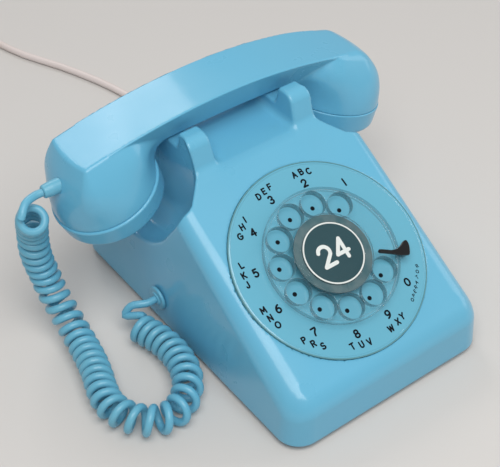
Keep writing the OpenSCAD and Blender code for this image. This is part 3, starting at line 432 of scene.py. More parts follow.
# Routes as in the CAD source, in millimetres. The curls' fourth number is their spacing there.
RELIEF = np.array([-115.0, CRADLE_Y, 0])
EXIT = np.array([42.0, 110.0, 0])
curl_route = np.array([
    [-11, -6.7, 96, 7], [-9, 0.3, 88, 7.2], [-7, 6.3, 77, 6.4], [-7, 8.3, 65, 6], [-6, 9.3, 53, 6.2],
    [-4, 8.3, 41, 6.6], [-3, 4.3, 30, 7.2], [-2, -3.7, 20, 7.4], [-2, -14.7, 13, 7], [-3, -25.7, 10, 6],
    [-5, -37.7, 9.5, 5.8], [-8, -49.7, 9.5, 6], [-12, -61.7, 9.5, 6.6], [-14, -73.7, 9.5, 7.6],
    [-11, -85.7, 9.5, 8.6], [-3, -95.7, 9.5, 8.8], [8, -99.7, 9.5, 8.8], [19, -95.7, 9.5, 8.4],
    [28, -86.7, 9.5, 7.4], [33, -75.7, 9.5, 6.4], [35, -63.7, 9.5, 6.2], [34.5, -51.7, 9.5, 6.2],
    [32, -40.7, 9.5, 6], [29, -31.7, 10, 6],
])
curl_lead_in = [[0, 0, 104.4], [-5, 0, 104.4], [-12, -2.7, 104.3], [-17, -6.7, 100.5]]
curl_lead_out = [
    [27, -23.7, 13], [31, -24.7, 19], [36, -28.2, 20.3], [39.5, -29.7, 20.3], [44.5, -29.7, 20.3]]
line_route = [
    [0, 0, 12], [0, 5, 12], [0, 14, 10], [0, 26, 4.5], [0, 40, 2.6],
    [-1, 65, 2.6], [-3, 90, 2.6], [-6, 114, 2.6], [-13, 142, 2.6], [-25, 175, 2.6],
    [-39, 206, 2.6], [-47.4, 235, 2.6], [-51.7, 260, 2.6],
]
CURL_R, CURL_RINGS, CURL_WIRE, CURL_START, LINE_D = 6.8, 8, 4.6, 60, 5.0


def curve_point(P, i, t):
    """Point at share t of the way from P[i] to P[i + 1], on a smooth curve through all of P."""
    b, c = P[i], P[i + 1]
    a = P[i - 1] if i > 0 else 2 * b - c
    d = P[i + 2] if i + 2 < len(P) else 2 * c - b
    second, third = 2 * a - 5 * b + 4 * c - d, 3 * b - a - 3 * c + d
    return 0.5 * (2 * b + (c - a) * t + second * t * t + third * t ** 3)


def smooth_curve(P, n):
    return np.array([curve_point(P, i, j / n) for i in range(len(P) - 1) for j in range(n)] + [P[-1]])


def directions(Q):
    i = np.arange(len(Q))
    d = Q[np.minimum(i + 1, len(Q) - 1)] - Q[np.maximum(i - 1, 0)]
    return d / np.linalg.norm(d, axis=1)[:, None]


def carried(T, u):
    """The sideways direction u, carried along the directions T without twist."""
    out, u = [], np.array(u, float)
    for t in T:
        u = u - t * (u @ t)
        u /= np.linalg.norm(u)
        out.append(u)
    return np.array(out)


def tube(Q, radius, sides):
    """Points and quads of a closed tube along Q; radius is a number or one for each point."""
    T = directions(Q)
    U = carried(T, (0.3, 0.2, 1))
    V = np.cross(T, U)
    a = 2 * np.pi * np.arange(sides) / sides
    r = np.broadcast_to(radius, len(Q))[:, None, None]
    p = Q[:, None] + r * (np.cos(a)[None, :, None] * U[:, None] + np.sin(a)[None, :, None] * V[:, None])
    n = len(Q)
    i, j = np.meshgrid(np.arange(n - 1), np.arange(sides), indexing="ij")
    k = (j + 1) % sides
    quads = np.stack([i * sides + j, i * sides + k, (i + 1) * sides + k, (i + 1) * sides + j], -1)
    ends = [list(range(sides))[::-1], list(range((n - 1) * sides, n * sides))]
    return p.reshape(-1, 3), quads.reshape(-1, 4).tolist() + ends


points = curl_route[:, :3] + RELIEF
middle = []
for i in range(len(points) - 1):
    long = np.linalg.norm(points[i + 1] - points[i])
    count = int(math.floor(CURL_RINGS * long / curl_route[i, 3] + 0.5))
    middle += [curve_point(points, i, j / count) for j in range(count)]
middle = np.array(middle + [points[-1]])
T = directions(middle)
U = carried(T, (-1, 0, 0))
turn = np.radians(CURL_START - 360 * np.arange(len(middle)) / CURL_RINGS)[:, None]
curls = middle + CURL_R * (np.cos(turn) * U + np.sin(turn) * np.cross(T, U))
curly = np.concatenate([np.array(curl_lead_in) + RELIEF, curls, np.array(curl_lead_out) + RELIEF])
curly = smooth_curve(curly, 3)
handset_cord = piece("curly_cord", *tube(curly, CURL_WIRE / 2, 12), cord_blue, None,
                     "handset_cord_sleeve")
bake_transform(handset_cord)
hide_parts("handset_cord")

# The spare length spirals in on one level and out again on the next
COIL = EXIT + np.array([-94, 278, 0])
COIL_R, COIL_STEP, HALF_TURNS, COIL_RINGS = 38.6, LINE_D + 0.5, 4.5, 24
TIE_T = 0.4  # Thickness of the tie band
s = np.arange(int(2 * HALF_TURNS * COIL_RINGS) + 1) / COIL_RINGS
radius = COIL_R - COIL_STEP * np.where(s < HALF_TURNS, s, 2 * HALF_TURNS - s)
height = LINE_D / 2 + TIE_T + 0.15 + (LINE_D + 0.45) * np.clip(2 * (s - HALF_TURNS) + 0.5, 0, 1)
angle = np.radians(10 + 360 * s)
coil = np.stack([COIL[0] + radius * np.cos(angle), COIL[1] + radius * np.sin(angle), height], 1)
first_way = (coil[1] - coil[0]) / np.linalg.norm(coil[1] - coil[0])
last_way = (coil[-1] - coil[-2]) / np.linalg.norm(coil[-1] - coil[-2])
coil_end = np.array([coil[-1] + last_way * a - np.array([0, 0, b]) for a, b in (
    (5, 0), (10, 0), (16, 0.3), (23, 1.6), (30, 3), (36, 3.7), (42, 3.7))])
coil_start = np.array([coil[0] - first_way * LINE_D * t for t in (3, 2, 1)])
line = smooth_curve(np.concatenate([np.array(line_route) + EXIT, coil_start, coil, coil_end]), 2)
line_cord = piece("line_cord_run", *tube(line, LINE_D / 2, 14), cord_pale, "base", "cord_sleeve")
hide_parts("line_cord", "line_cord_coil")

# ---------------------------------------------------------------- housing

# Heights end in Z, radii in R; PLATE_HOLE, DIAL_HOLE, PLUNGER_HOLE and CORD_HOLE are radii too
HALF_WIDTH, FRONT_Y, REAR_Y, RIM_Z, DECK_Z, WALL, UPRIGHT_R = 68.3, -108, 108, 3.6, 102.5, 2.6, 14
SIDE_LEAN, REAR_LEAN, PRONG_FACE = math.radians(3.1), math.radians(9.4), math.radians(72)
TAN_SIDE, TAN_REAR, TAN_FACE = math.tan(SIDE_LEAN), math.tan(REAR_LEAN), math.tan(FACE)
PRONG_TOP, WEB_TOP = 120.5, 109.7
SCOOP_X, SCOOP_Z, SCOOP_R = 40, 97, 36.3  # Hollows for the cups
HOLD_X, HOLD_Y, HOLD_Z, HOLD_R = 34, 99.35, 80, 15  # Hand hold at the back
PLATE_HOLE, PLATE_DEPTH, DIAL_HOLE, DIAL_DEPTH = 57.5, 1.6, 52.2, 15
PLUNGER_X, PLUNGER_HOLE = 33, 4.08
CURLY_Y, CURLY_Z, LINE_X, LINE_Z, CORD_HOLE = 20.0, 20.3, 42.0, 12, 4.5
BOSS_FRONT, BOSS_REAR, BOSS_R = -95.5, 93, 4.5  # Screw bosses


def body_shape(x, y, z):
    """The housing's outside without prongs, hollows and holes."""
    side = (np.abs(x) - (HALF_WIDTH - (z - RIM_Z) * TAN_SIDE)) * math.cos(SIDE_LEAN)
    front = FRONT_Y - y
    rear = (y - (REAR_Y - (z - RIM_Z) * TAN_REAR)) * math.cos(REAR_LEAN)
    face = (z - (DIAL[2] + (y - DIAL[1]) * TAN_FACE)) * math.cos(FACE)
    plan = round_max([side, front, rear], UPRIGHT_R)
    upper = round_max([face, z - DECK_Z], 1.8)
    # The upper edges are rounder at the sides than at the ends
    near_side = np.maximum(side + UPRIGHT_R, 0) ** 2
    near_end = np.maximum(np.maximum(front, rear) + UPRIGHT_R, 0) ** 2
    share = near_side / (near_side + near_end + 1e-6)
    side_r = 13.4 - 4.4 * step_up(y, -100, 5)
    end_r = np.where(y < 0, 6.75, 7.95)
    return round_max([plan, upper], share * side_r + (1 - share) * end_r)


def scoop_shape(x, y, z):
    """The hollows that the cups lie in, one at each side."""
    rho = np.hypot(y - CRADLE_Y, z - SCOOP_Z)
    wall = SCOOP_X - np.abs(x)
    slope = (rho - SCOOP_R - (np.abs(x) - SCOOP_X)) / math.sqrt(2)
    reach = 46.3 + 4.8 * step_up(z, 72, 92)
    return round_max([round_max([wall, slope], 3), rho - reach], 2)


def prong_shape(x, y, z):
    """Both prongs of one side and the web between them."""
    across = np.abs(y - CRADLE_Y)
    inner = (18.0 + 1.3 * np.clip((z - WEB_TOP) / 8.3, 0, 1)) - across
    outer = (across - 37.6) * math.sin(PRONG_FACE) + (z - 101) * math.cos(PRONG_FACE)
    prong = round_max([round_max([inner, z - PRONG_TOP], 2.5), outer], 5.0)
    web = np.maximum(across - 21, z - WEB_TOP)
    gap = (27.8 - (120 - z) * 1.3 / 19) - np.abs(x)
    return round_max([soft_min(prong, web, 3.0), gap], 1.7)


def housing_shape(x, y, z):
    body = body_shape(x, y, z)
    scoops = scoop_shape(x, y, z)
    hold_round, hold_end = np.hypot(y - HOLD_Y, z - HOLD_Z) - HOLD_R, np.abs(x) - HOLD_X
    hold = np.maximum(hold_round, hold_end)
    shape = soft_min(body, np.maximum(prong_shape(x, y, z), 94 - z), 5.0)
    shape = round_max([shape, -scoops], 1.7)
    shape = round_max([shape, -round_max([hold_round, hold_end], 4)], 2.0)
    # Seat of the number plate and the opening under it
    v = (y - DIAL[1]) * math.cos(FACE) + (z - DIAL[2]) * math.sin(FACE)
    w = -(y - DIAL[1]) * math.sin(FACE) + (z - DIAL[2]) * math.cos(FACE)
    r = np.hypot(x, v)
    shape = round_max([shape, -np.maximum(r - PLATE_HOLE, -PLATE_DEPTH - w)], 0.7)
    shape = np.maximum(shape, -np.maximum(r - DIAL_HOLE, -DIAL_DEPTH - w))
    inside = np.maximum(np.maximum(body + WALL, -(scoops - WALL)), -(hold - WALL))
    shape = np.maximum(shape, -inside)
    holes = np.maximum(np.hypot(np.abs(x) - PLUNGER_X, y - CRADLE_Y) - PLUNGER_HOLE, 93 - z)
    shape = np.maximum(shape, -np.maximum(holes, z - 125))
    shape = np.maximum(shape, -np.maximum(np.hypot(y - CURLY_Y, z - CURLY_Z) - CORD_HOLE, x + 50))
    shape = np.maximum(shape, -np.maximum(np.hypot(x - LINE_X, z - LINE_Z) - CORD_HOLE, 85 - y))
    bosses = np.minimum(np.hypot(x, y - BOSS_FRONT), np.hypot(x, y - BOSS_REAR)) - BOSS_R
    bosses = np.maximum(np.maximum(bosses, 5.2 - z), body + WALL / 2)
    return round_max([np.minimum(shape, bosses), RIM_Z - z], 0.5)


grid = 1.25
p, q, n = surface(housing_shape, (-70.2, -110, 1.6), (70.2, 110, 122.6), grid)
housing = piece("housing_shell", p, q, shell_plastic, "base", "shell_plastic", n)
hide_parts("housing")

# ---------------------------------------------------------------- handset

TOP_X, TOP_Z, STRIP = -7, 131.1, 17.5  # Highest point of the handle and half its top's width
UNDER_Z, BAR_END, NECK_R, HOLLOW_R, SOCKET_Z, SOCKET_R = 110, 84, 28.2, 26.6, 104.4, 4.3


def strip_top(x):
    """Height of the handle's curved top."""
    return TOP_Z - np.where(x < TOP_X, 0.00127, 0.0016) * (x - TOP_X) ** 2


def seam_frame(x, z, seam):
    """Distance of (x, z) along the seam and its height over it."""
    t = math.radians(seam[2])
    dx, dz = x - seam[0], z - seam[1]
    return dx * math.cos(t) + dz * math.sin(t), dz * math.cos(t) - dx * math.sin(t)


def cup_shape(x, y, z, seam, radius, end, end_height, bend, corner):
    """Cup that grows from its round seam to the straight edges of the strip above it."""
    a, c = seam_frame(x, z, seam)
    across, out, up = np.abs(y - CRADLE_Y), a * np.sign(seam[0]), np.maximum(c, 0)
    depth = strip_top(x) - z
    rise = np.clip(up / np.maximum(up + depth, 1), 0, 1.1)
    wide = radius - (radius - STRIP) * rise ** bend
    long = np.maximum(radius - (radius - end) * (up / end_height) ** bend, 1)
    long = np.where(out < 0, radius, long)
    circle = (np.hypot(out / long, across / wide) - 1) * np.minimum(wide, long)
    edge = np.where(out < 0, 14, corner + 0.28 * np.clip(depth, 0, 20))
    bulge = np.where(out > 0, 2.6 * (across / STRIP) ** 2, 0)
    box = round_max([(across - wide) / 1.12, (np.abs(out) + bulge - long) / 1.3], edge)
    share = step_up(c, 3, 28)
    return np.maximum((1 - share) * circle + share * box, -c)


def handset_shape(x, y, z):
    across = np.abs(y - CRADLE_Y)
    left = x < 0
    left_a, left_c = seam_frame(x, z, LEFT)
    right_a, right_c = seam_frame(x, z, RIGHT)
    a, c = np.where(left, left_a, right_a), np.where(left, left_c, right_c)
    top = strip_top(x)
    depth = top - z
    # The handle's sides lean in below its top
    lean = -0.4354
    side = (across - (STRIP + lean * np.maximum(depth - 2, -3))) / math.sqrt(1 + lean * lean)
    over = np.maximum(np.abs(x) - 40, 0)
    under = (UNDER_Z - 0.09 * over * over - z) / np.sqrt(1 + (0.18 * over) ** 2)
    thin = step_up(np.abs(x), 50, 66)
    under = np.maximum(under, depth - (60 - 51 * thin))
    bar = round_max([side, under, np.abs(x) - BAR_END], 3.0)
    cups = np.minimum(cup_shape(x, y, z, LEFT, 31.0, 9.0, 35.6, 1.75, 1.2),
                      cup_shape(x, y, z, RIGHT, 30.6, 6.6, 34.2, 1.85, 4.0))
    blend = 0.6 + 8.0 * step_up(depth, 4, 16) * (1 - step_up(np.abs(x), 64, 76))
    shape = soft_min(bar, cups, blend)
    crisp = np.where(left, 1.1, 1.1 + 2.9 * step_up(x, 60, 94))
    shape = round_max([shape, (z - top) / np.sqrt(1 + (0.0026 * (x - TOP_X)) ** 2)], crisp)
    # Each cup ends at its seam, with a neck below it and a hollow inside
    near = np.abs(x) > 44
    shape = np.where(near, round_max([shape, -c], 0.5), shape)
    rho = np.hypot(a, across)
    neck = np.where(near, np.maximum(rho - NECK_R, np.maximum(c - 1, -6 - c)), 20)
    shape = np.minimum(shape, neck)
    hollow = np.where(near, np.maximum(rho - HOLLOW_R, np.maximum(c - 8, -8 - c)), 20)
    shape = np.maximum(shape, -hollow)
    socket = np.maximum(np.hypot(y - CRADLE_Y, z - SOCKET_Z) - SOCKET_R, x + 93)
    return np.maximum(shape, -socket)


grid = 0.8
p, q, n = surface(handset_shape, (-112, CRADLE_Y - 33, 70), (115, CRADLE_Y + 33, 133), grid)
handset = piece("handset_body", p, q, shell_plastic, "handset", "shell_plastic", n)
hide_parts("handset_shell")


CAP_HEIGHT, CAP_HOLE = 13.5, 1.3


def cap_shape(holes, radius, lip):
    """Screw cap under its seam; holes are rings of (radius, count)."""
    def shape(x, y, z):
        rho = np.hypot(x, y)
        outer = rho - (radius + 1.2 * z / CAP_HEIGHT)
        dish = -14.0 - z + 0.6 * np.clip(1 - (rho / 22) ** 2, 0, 1)
        solid = round_max([round_max([outer, dish], 3.4), z + 0.12], lip)
        solid = np.maximum(solid, -np.maximum(rho - 28.5, -11 - z))
        for r, count in holes:
            sector = 2 * np.pi / count
            a = np.arctan2(y, x)
            a = a - sector * np.round(a / sector)
            hole = np.hypot(rho * np.cos(a) - r, rho * np.sin(a)) if r else rho
            solid = round_max([solid, -(hole - CAP_HOLE)], 0.35)
        return solid
    return shape


grid = 0.8
for name, node, seam, holes, radius, lip in (
        ("transmitter_cap_shell", "transmitter_cap", LEFT, [(0, 1), (7, 6), (14, 12)], 32.3, 1.3),
        ("receiver_cap_shell", "receiver_cap", RIGHT, [(0, 1), (6, 6)], 31.2, 0.6)):
    p, q, n = surface(cap_shape(holes, radius, lip), (-33.5, -33.5, -15.5), (33.5, 33.5, 1), grid)
    move = seam_place(seam)
    cap = piece(name, move(p), q, shell_plastic, "handset", "shell_plastic", move(n) - move([0, 0, 0]))
    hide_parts(node)


def along(start, way):
    """Placement of a lathe whose axis runs along way from start."""
    way = np.array(way, float) / np.linalg.norm(way)
    side = np.cross([0, 0, 1], way) if abs(way[2]) < 0.9 else np.array([1.0, 0, 0])
    side /= np.linalg.norm(side)
    axes = np.array([side, np.cross(way, side), way])
    return lambda p: np.array(start, float) + np.asarray(p, float) @ axes


relief = piece("handset_relief", *turned(
    [(0, 0), (3.7, 0), (4.25, 5.5), (4.25, 17), (0, 17)], [0, 1.1, 1, 0, 0], 40,
    along((RELIEF[0], CRADLE_Y, SOCKET_Z), (1, 0, 0))), cord_blue, "handset", "shell_plastic")
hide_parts("handset_cord_relief")
wall_x = -(HALF_WIDTH - (CURLY_Z - RIM_Z) * TAN_SIDE) - 0.5
lip, wall, end = wall_x + 68.7, wall_x + 70.5, wall_x + 79.5
grommet = piece("handset_cord_bushing", *turned(
    [(0, 0), (3.9, 0), (4.4, lip), (7.4, lip), (7.4, wall), (4.4, wall), (4.4, end), (0, end)],
    [0, 0.8, 0.8, 0.8, 0.5, 0, 0, 0], 40,
    along((-70.5, CURLY_Y, CURLY_Z), (1, 0, 0))), cord_blue, "base", "shell_plastic")
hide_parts("handset_cord_grommet")

# ---------------------------------------------------------------- dial

PLATE_TOP = 0.6
WHEEL_R, HOLE_CIRCLE, HOLE_R = 38.6, 30.3, 6.9
FIRST_HOLE, HOLE_STEP, HOLE_TURN = math.radians(45), math.radians(30), math.radians(2.2)

plate = piece("number_plate_face", *turned(
    [(5.1, -1.6), (56.8, -1.6), (56.8, 0.8), (56.0, 0.9),
     (55.6, PLATE_TOP), (5.1, PLATE_TOP), (5.1, -1.6)],
    [0, 0.3, 0.2, 0.2, 0.3, 0, 0], 160, on_dial), plate_plastic, "base", "plate_plastic")
piece("number_plate_rim", *turned(
    [(56.8, -1.5), (57.4, -1.5), (57.4, 1.0), (56.5, 1.0), (56.8, 0.8), (56.8, -1.5)],
    [0, 0.1, 0.35, 0.15, 0, 0], 160, on_dial), rim_plastic, "base", "plate_plastic")
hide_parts("number_plate")


def wheel_shape(x, y, z):
    """Finger wheel with ten holes and a raised rim."""
    rho = np.hypot(x, y)
    disc = round_max([rho - WHEEL_R, round_max([z - 6.4, 1.6 - z], 0.4)], 0.5)
    rim = round_max([np.abs(rho - 38.5) - 0.75, np.maximum(z - 7.05, 3.0 - z)], 0.35)
    shape = soft_min(disc, rim, 0.8)
    angle = np.arctan2(y, x) - HOLE_TURN
    a = angle - FIRST_HOLE
    a = a - HOLE_STEP * np.round(a / HOLE_STEP)
    # The holes narrow downwards
    hole = np.hypot(rho * np.cos(a) - HOLE_CIRCLE, rho * np.sin(a)) - HOLE_R - 0.08 * (z - 1.5)
    hole = np.where(np.abs(angle) < HOLE_STEP, np.maximum(hole, 1), hole)
    shape = round_max([shape, -hole], 0.35)
    return np.maximum(shape, 3 - rho)


grid = 0.5
p, q, n = surface(wheel_shape, (-40, -40, 0.8), (40, 40, 7.8), grid)
wheel = piece("finger_wheel_clear", on_dial(p), q, wheel_plastic, "dial", "clear_plastic", n @ DIAL_AXES)
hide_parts("finger_wheel")

clamp = piece("wheel_clamp_plate", *turned(
    [(3, 6.42), (22.7, 6.42), (22.7, 7.2), (3, 7.2), (3, 6.42)], [0, 0.2, 0.25, 0, 0], 96, on_dial),
    brushed, "dial", "steel")
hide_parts("wheel_clamp")
piece("wheel_clamp_washer", *lathe([(3, 3.0), (8, 3.0), (8, 3.55), (3, 3.55), (3, 3.0)], 48, on_dial),
      steel, "dial", "steel", smooth=False)

card = piece("number_card_disc", *lathe([(0, 7.4), (18, 7.4), (18, 7.95), (0, 8.0)], 96, on_dial),
             card_paper, "dial", "card", smooth=False)
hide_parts("number_card")
piece("number_card_ring", *lathe(
    [(16.95, 7.98), (17.8, 7.98), (17.8, 8.05), (16.95, 8.05), (16.95, 7.98)], 96, on_dial),
    card_white, "dial", "card", smooth=False)
cover = piece("card_cover_clear", *turned(
    [(0, 8.2), (18.2, 8.2), (18.2, 7.25), (23, 7.25), (23, 8.9), (20, 10.6), (0, 10.8)],
    [0, 0.3, 0.2, 0.3, 0.7, 2.0, 0], 96, on_dial), hub_plastic, "dial", "clear_plastic")
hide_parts("card_cover")


def outline_prism(outline, low, high, place, bevel):
    """Flat shape pulled up from low to high with chamfered edges."""
    outline = np.array(outline, float)
    n = len(outline)
    nxt, prv = np.roll(outline, -1, 0), np.roll(outline, 1, 0)
    way = (nxt - prv) / np.linalg.norm(nxt - prv, axis=1)[:, None]
    inward = np.stack([-way[:, 1], way[:, 0]], 1) * bevel
    rows = []
    for shift, h in ((1, low), (0, low + bevel), (0, high - bevel), (1, high)):
        rows.append(np.column_stack([outline + shift * inward, np.full(n, h)]))
    points = place(np.concatenate(rows))
    faces = [[i * n + j, i * n + (j + 1) % n, (i + 1) * n + (j + 1) % n, (i + 1) * n + j]
             for i in range(3) for j in range(n)]
    return points, faces + [list(range(n))[::-1], list(range(3 * n, 4 * n))]


stop_outline = smooth_curve(np.array([
    (23.2, -11.3), (24.0, -12.3), (26.8, -14.0), (30.4, -16.3), (33.7, -18.7), (37.6, -20.5),
    (39.2, -20.4), (41.6, -16.4), (42.1, -13.6), (41.4, -12.7), (39.5, -12.7), (37.1, -13.8),
    (34.0, -14.6), (30.8, -13.9), (27.9, -12.2), (24.4, -10.3), (23.2, -11.3)]), 4)[:-1]
stop = piece("finger_stop_hook", *outline_prism(stop_outline, 7.5, 9.3, on_dial, 0.4), dark_metal,
             "base", "dark_steel", smooth=False)
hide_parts("finger_stop")
t = math.radians(-24)
foot = [(math.cos(t) * r - math.sin(t) * s, math.sin(t) * r + math.cos(t) * s)
        for r, s in ((42.4, -1.7), (44.4, -1.7), (44.4, 1.7), (42.4, 1.7))]
piece("finger_stop_foot", *outline_prism(foot, -8.4, 8.4, on_dial, 0.3), steel,
      "base", "dark_steel", smooth=False)


def arc(x, y, rx, ry, start, end, n=12):
    """Points on an ellipse about (x, y), from start to end in degrees."""
    return [(x + rx * math.cos(math.radians(t)), y + ry * math.sin(math.radians(t)))
            for t in np.linspace(start, end, n)]


# Strokes of each sign, one unit high
SIGNS = {
    "0": [arc(0.33, 0.5, 0.33, 0.5, 0, 360, 24)],
    "1": [[(0.0, 1.0), (0.06, 0.0)]],
    "2": [arc(0.31, 0.69, 0.31, 0.31, 165, -35) + [(0.0, 0.0), (0.64, 0.0)]],
    "3": [arc(0.28, 0.74, 0.27, 0.26, 150, -90) + arc(0.28, 0.25, 0.31, 0.27, 90, -150)[1:]],
    "4": [[(0.48, 0.0), (0.48, 1.0), (0.0, 0.3), (0.66, 0.3)]],
    "5": [[(0.56, 1.0), (0.12, 1.0), (0.07, 0.56)] + arc(0.28, 0.32, 0.31, 0.33, 118, -145)],
    "6": [arc(0.62, 0.34, 0.61, 0.68, 100, 180, 8) + arc(0.32, 0.31, 0.31, 0.31, 180, 540, 20)],
    "7": [[(0.0, 1.0), (0.62, 1.0)] + arc(1.3, 0.0, 1.08, 1.0, 130, 180, 6)],
    "8": [arc(0.31, 0.75, 0.26, 0.25, 0, 360, 20), arc(0.31, 0.26, 0.31, 0.27, 0, 360, 20)],
    "9": [arc(0.02, 0.66, 0.61, 0.68, -80, 0, 8) + arc(0.32, 0.69, 0.31, 0.31, 0, 360, 20)],
    "A": [[(0.0, 0.0), (0.35, 1.0), (0.7, 0.0)], [(0.13, 0.34), (0.57, 0.34)]],
    "B": [[(0.32, 1.0), (0.0, 1.0), (0.0, 0.0), (0.34, 0.0)], arc(0.32, 0.77, 0.23, 0.23, 90, -90),
          arc(0.34, 0.27, 0.27, 0.27, 90, -90), [(0.0, 0.54), (0.34, 0.54)]],
    "C": [arc(0.4, 0.5, 0.4, 0.5, 50, 310, 16)],
    "D": [[(0.25, 0.0), (0.0, 0.0), (0.0, 1.0), (0.25, 1.0)], arc(0.25, 0.5, 0.4, 0.5, 90, -90, 14)],
    "E": [[(0.52, 0.0), (0.0, 0.0), (0.0, 1.0), (0.52, 1.0)], [(0.0, 0.52), (0.45, 0.52)]],
    "F": [[(0.0, 0.0), (0.0, 1.0), (0.52, 1.0)], [(0.0, 0.52), (0.44, 0.52)]],
    "G": [arc(0.41, 0.5, 0.41, 0.5, 50, 345, 18) + [(0.81, 0.47), (0.48, 0.47)]],
    "H": [[(0.0, 0.0), (0.0, 1.0)], [(0.62, 0.0), (0.62, 1.0)], [(0.0, 0.52), (0.62, 0.52)]],
    "I": [[(0.0, 0.0), (0.0, 1.0)]],
    "J": [[(0.46, 1.0), (0.46, 0.26)] + arc(0.23, 0.26, 0.23, 0.26, 0, -175, 10)],
    "K": [[(0.0, 0.0), (0.0, 1.0)], [(0.6, 1.0), (0.0, 0.4)], [(0.2, 0.58), (0.62, 0.0)]],
    "L": [[(0.0, 1.0), (0.0, 0.0), (0.5, 0.0)]],
    "M": [[(0.0, 0.0), (0.05, 1.0), (0.4, 0.3), (0.75, 1.0), (0.8, 0.0)]],
    "N": [[(0.0, 0.0), (0.0, 1.0), (0.64, 0.0), (0.64, 1.0)]],
    "O": [arc(0.42, 0.5, 0.42, 0.5, 0, 360, 24)],
    "P": [[(0.0, 0.0), (0.0, 1.0), (0.32, 1.0)] + arc(0.32, 0.74, 0.26, 0.26, 90, -90) + [(0.0, 0.48)]],
    "R": [[(0.0, 0.0), (0.0, 1.0), (0.32, 1.0)] + arc(0.32, 0.74, 0.26, 0.26, 90, -90) + [(0.0, 0.48)],
          [(0.3, 0.48), (0.6, 0.0)]],
    "S": [arc(0.3, 0.75, 0.28, 0.25, 30, 270, 12) + arc(0.3, 0.25, 0.31, 0.25, 90, -150, 12)],
    "T": [[(0.0, 1.0), (0.66, 1.0)], [(0.33, 1.0), (0.33, 0.0)]],
    "U": [[(0.0, 1.0), (0.0, 0.3)] + arc(0.3, 0.3, 0.3, 0.3, 180, 360, 10) + [(0.6, 1.0)]],
    "V": [[(0.0, 1.0), (0.34, 0.0), (0.68, 1.0)]],
    "W": [[(0.0, 1.0), (0.22, 0.0), (0.46, 0.9), (0.7, 0.0), (0.92, 1.0)]],
    "X": [[(0.0, 0.0), (0.62, 1.0)], [(0.0, 1.0), (0.62, 0.0)]],
    "Y": [[(0.0, 1.0), (0.33, 0.5), (0.66, 1.0)], [(0.33, 0.5), (0.33, 0.0)]],
}
PAINT_STEP = 0.0012  # Height between one stroke and the next, so that none lie in one plane
ROUND_SIDES = 10  # Of the round ends of the strokes


def words(name, signs, lift, face, body, slot):
    """Thin painted signs on the dial. Each is (sign, x, y, height, stroke), about its own middle."""
    points, faces = [], []
    ends = 2 * math.pi * np.arange(ROUND_SIDES) / ROUND_SIDES
    for sign, x, y, high, stroke in signs:
        first = len(faces)
        lines = [np.array(line, float) for line in SIGNS[sign]]
        every = np.concatenate(lines)
        middle = (every.min(0) + every.max(0)) / 2
        for line in lines:
            line = (line - middle) * (high - stroke) + (x, y)
            for q in line:
                z = lift + PAINT_STEP * (len(faces) - first)
                faces.append([len(points) + i for i in range(ROUND_SIDES)])
                points += [(q[0] + stroke / 2 * math.cos(t), q[1] + stroke / 2 * math.sin(t), z)
                           for t in ends]
            for q, w in zip(line, line[1:]):
                way = (w - q) / max(np.linalg.norm(w - q), 1e-9) * stroke / 2
                side = np.array([-way[1], way[0]])
                z = lift + PAINT_STEP * (len(faces) - first)
                faces.append([len(points) + i for i in range(4)])
                points += [(*(q - side), z), (*(w - side), z), (*(w + side), z), (*(q + side), z)]
    return piece(name, on_dial(points), faces, face, body, slot, smooth=False)


def round_dial(sign, angle, r, high, stroke):
    """A sign at an angle in degrees and a radius."""
    t = math.radians(angle)
    return sign, r * math.cos(t), r * math.sin(t), high, stroke


DIGIT, LETTER, SMALL = (5.2, 1.05), (4.2, 0.92), (2.2, 0.40)  # Height and stroke
LETTER_R, SMALL_R = 50.7, 51.6
digits = [("1", 45, 47.4), ("2", 74.8, 44.8), ("3", 104.7, 44.6), ("4", 134.5, 44.2), ("5", 165, 43.9),
          ("6", 194.8, 43.7), ("7", 224.8, 44.2), ("8", 256.2, 44.5), ("9", 285.5, 44.1),
          ("0", 315.3, 46.2)]
letters = [("A", 79.6), ("B", 74.6), ("C", 69.6), ("D", 109.2), ("E", 104.0), ("F", 98.9),
           ("G", 139.8), ("H", 133.4), ("I", 128.0), ("L", 158.4), ("K", 165.0), ("J", 171.2),
           ("M", 189.2), ("N", 195.3), ("O", 201.4), ("P", 219.5), ("R", 225.6), ("S", 231.9),
           ("T", 250.6), ("U", 256.8), ("V", 262.4), ("W", 279.8), ("X", 286.6), ("Y", 291.4)]
farther = {"B": 51.7, "C": 51.5}
small = zip("OPERATOR", (304.9, 307.9, 310.9, 313.8, 317.0, 320.5, 324.2, 327.9))
words("dial_signs", [round_dial(c, a, r, *DIGIT) for c, a, r in digits]
      + [round_dial(c, a, farther.get(c, LETTER_R), *LETTER) for c, a in letters]
      + [round_dial(c, a, SMALL_R, *SMALL) for c, a in small], 0.64, ink, "base", "plate_plastic")
words("card_number", [("2", -5.0, 0.3, 13.5, 2.2), ("4", 5.2, 0.3, 13.5, 2.2)], 8.06, card_white,
      "dial", "card")

DOT_CIRCLE, DOT_R = 30.2, 1.3
dots_p, dots_f = [], []
for i in range(10):
    a = math.radians(45 + 30 * i)
    dot_x, dot_y = DOT_CIRCLE * math.cos(a) - 0.3, DOT_CIRCLE * math.sin(a) - 0.8
    pp, ff = lathe([(0, PLATE_TOP), (DOT_R, PLATE_TOP), (DOT_R, 0.66), (0, 0.66)], 20,
                   lambda q: on_dial(np.asarray(q) + [dot_x, dot_y, 0]))
    dots_f += [[v + len(dots_p) for v in f] for f in ff]
    dots_p += list(pp)
piece("hole_dots", dots_p, dots_f, ink, "base", "plate_plastic", smooth=False)

# ---------------------------------------------------------------- line cord's ends

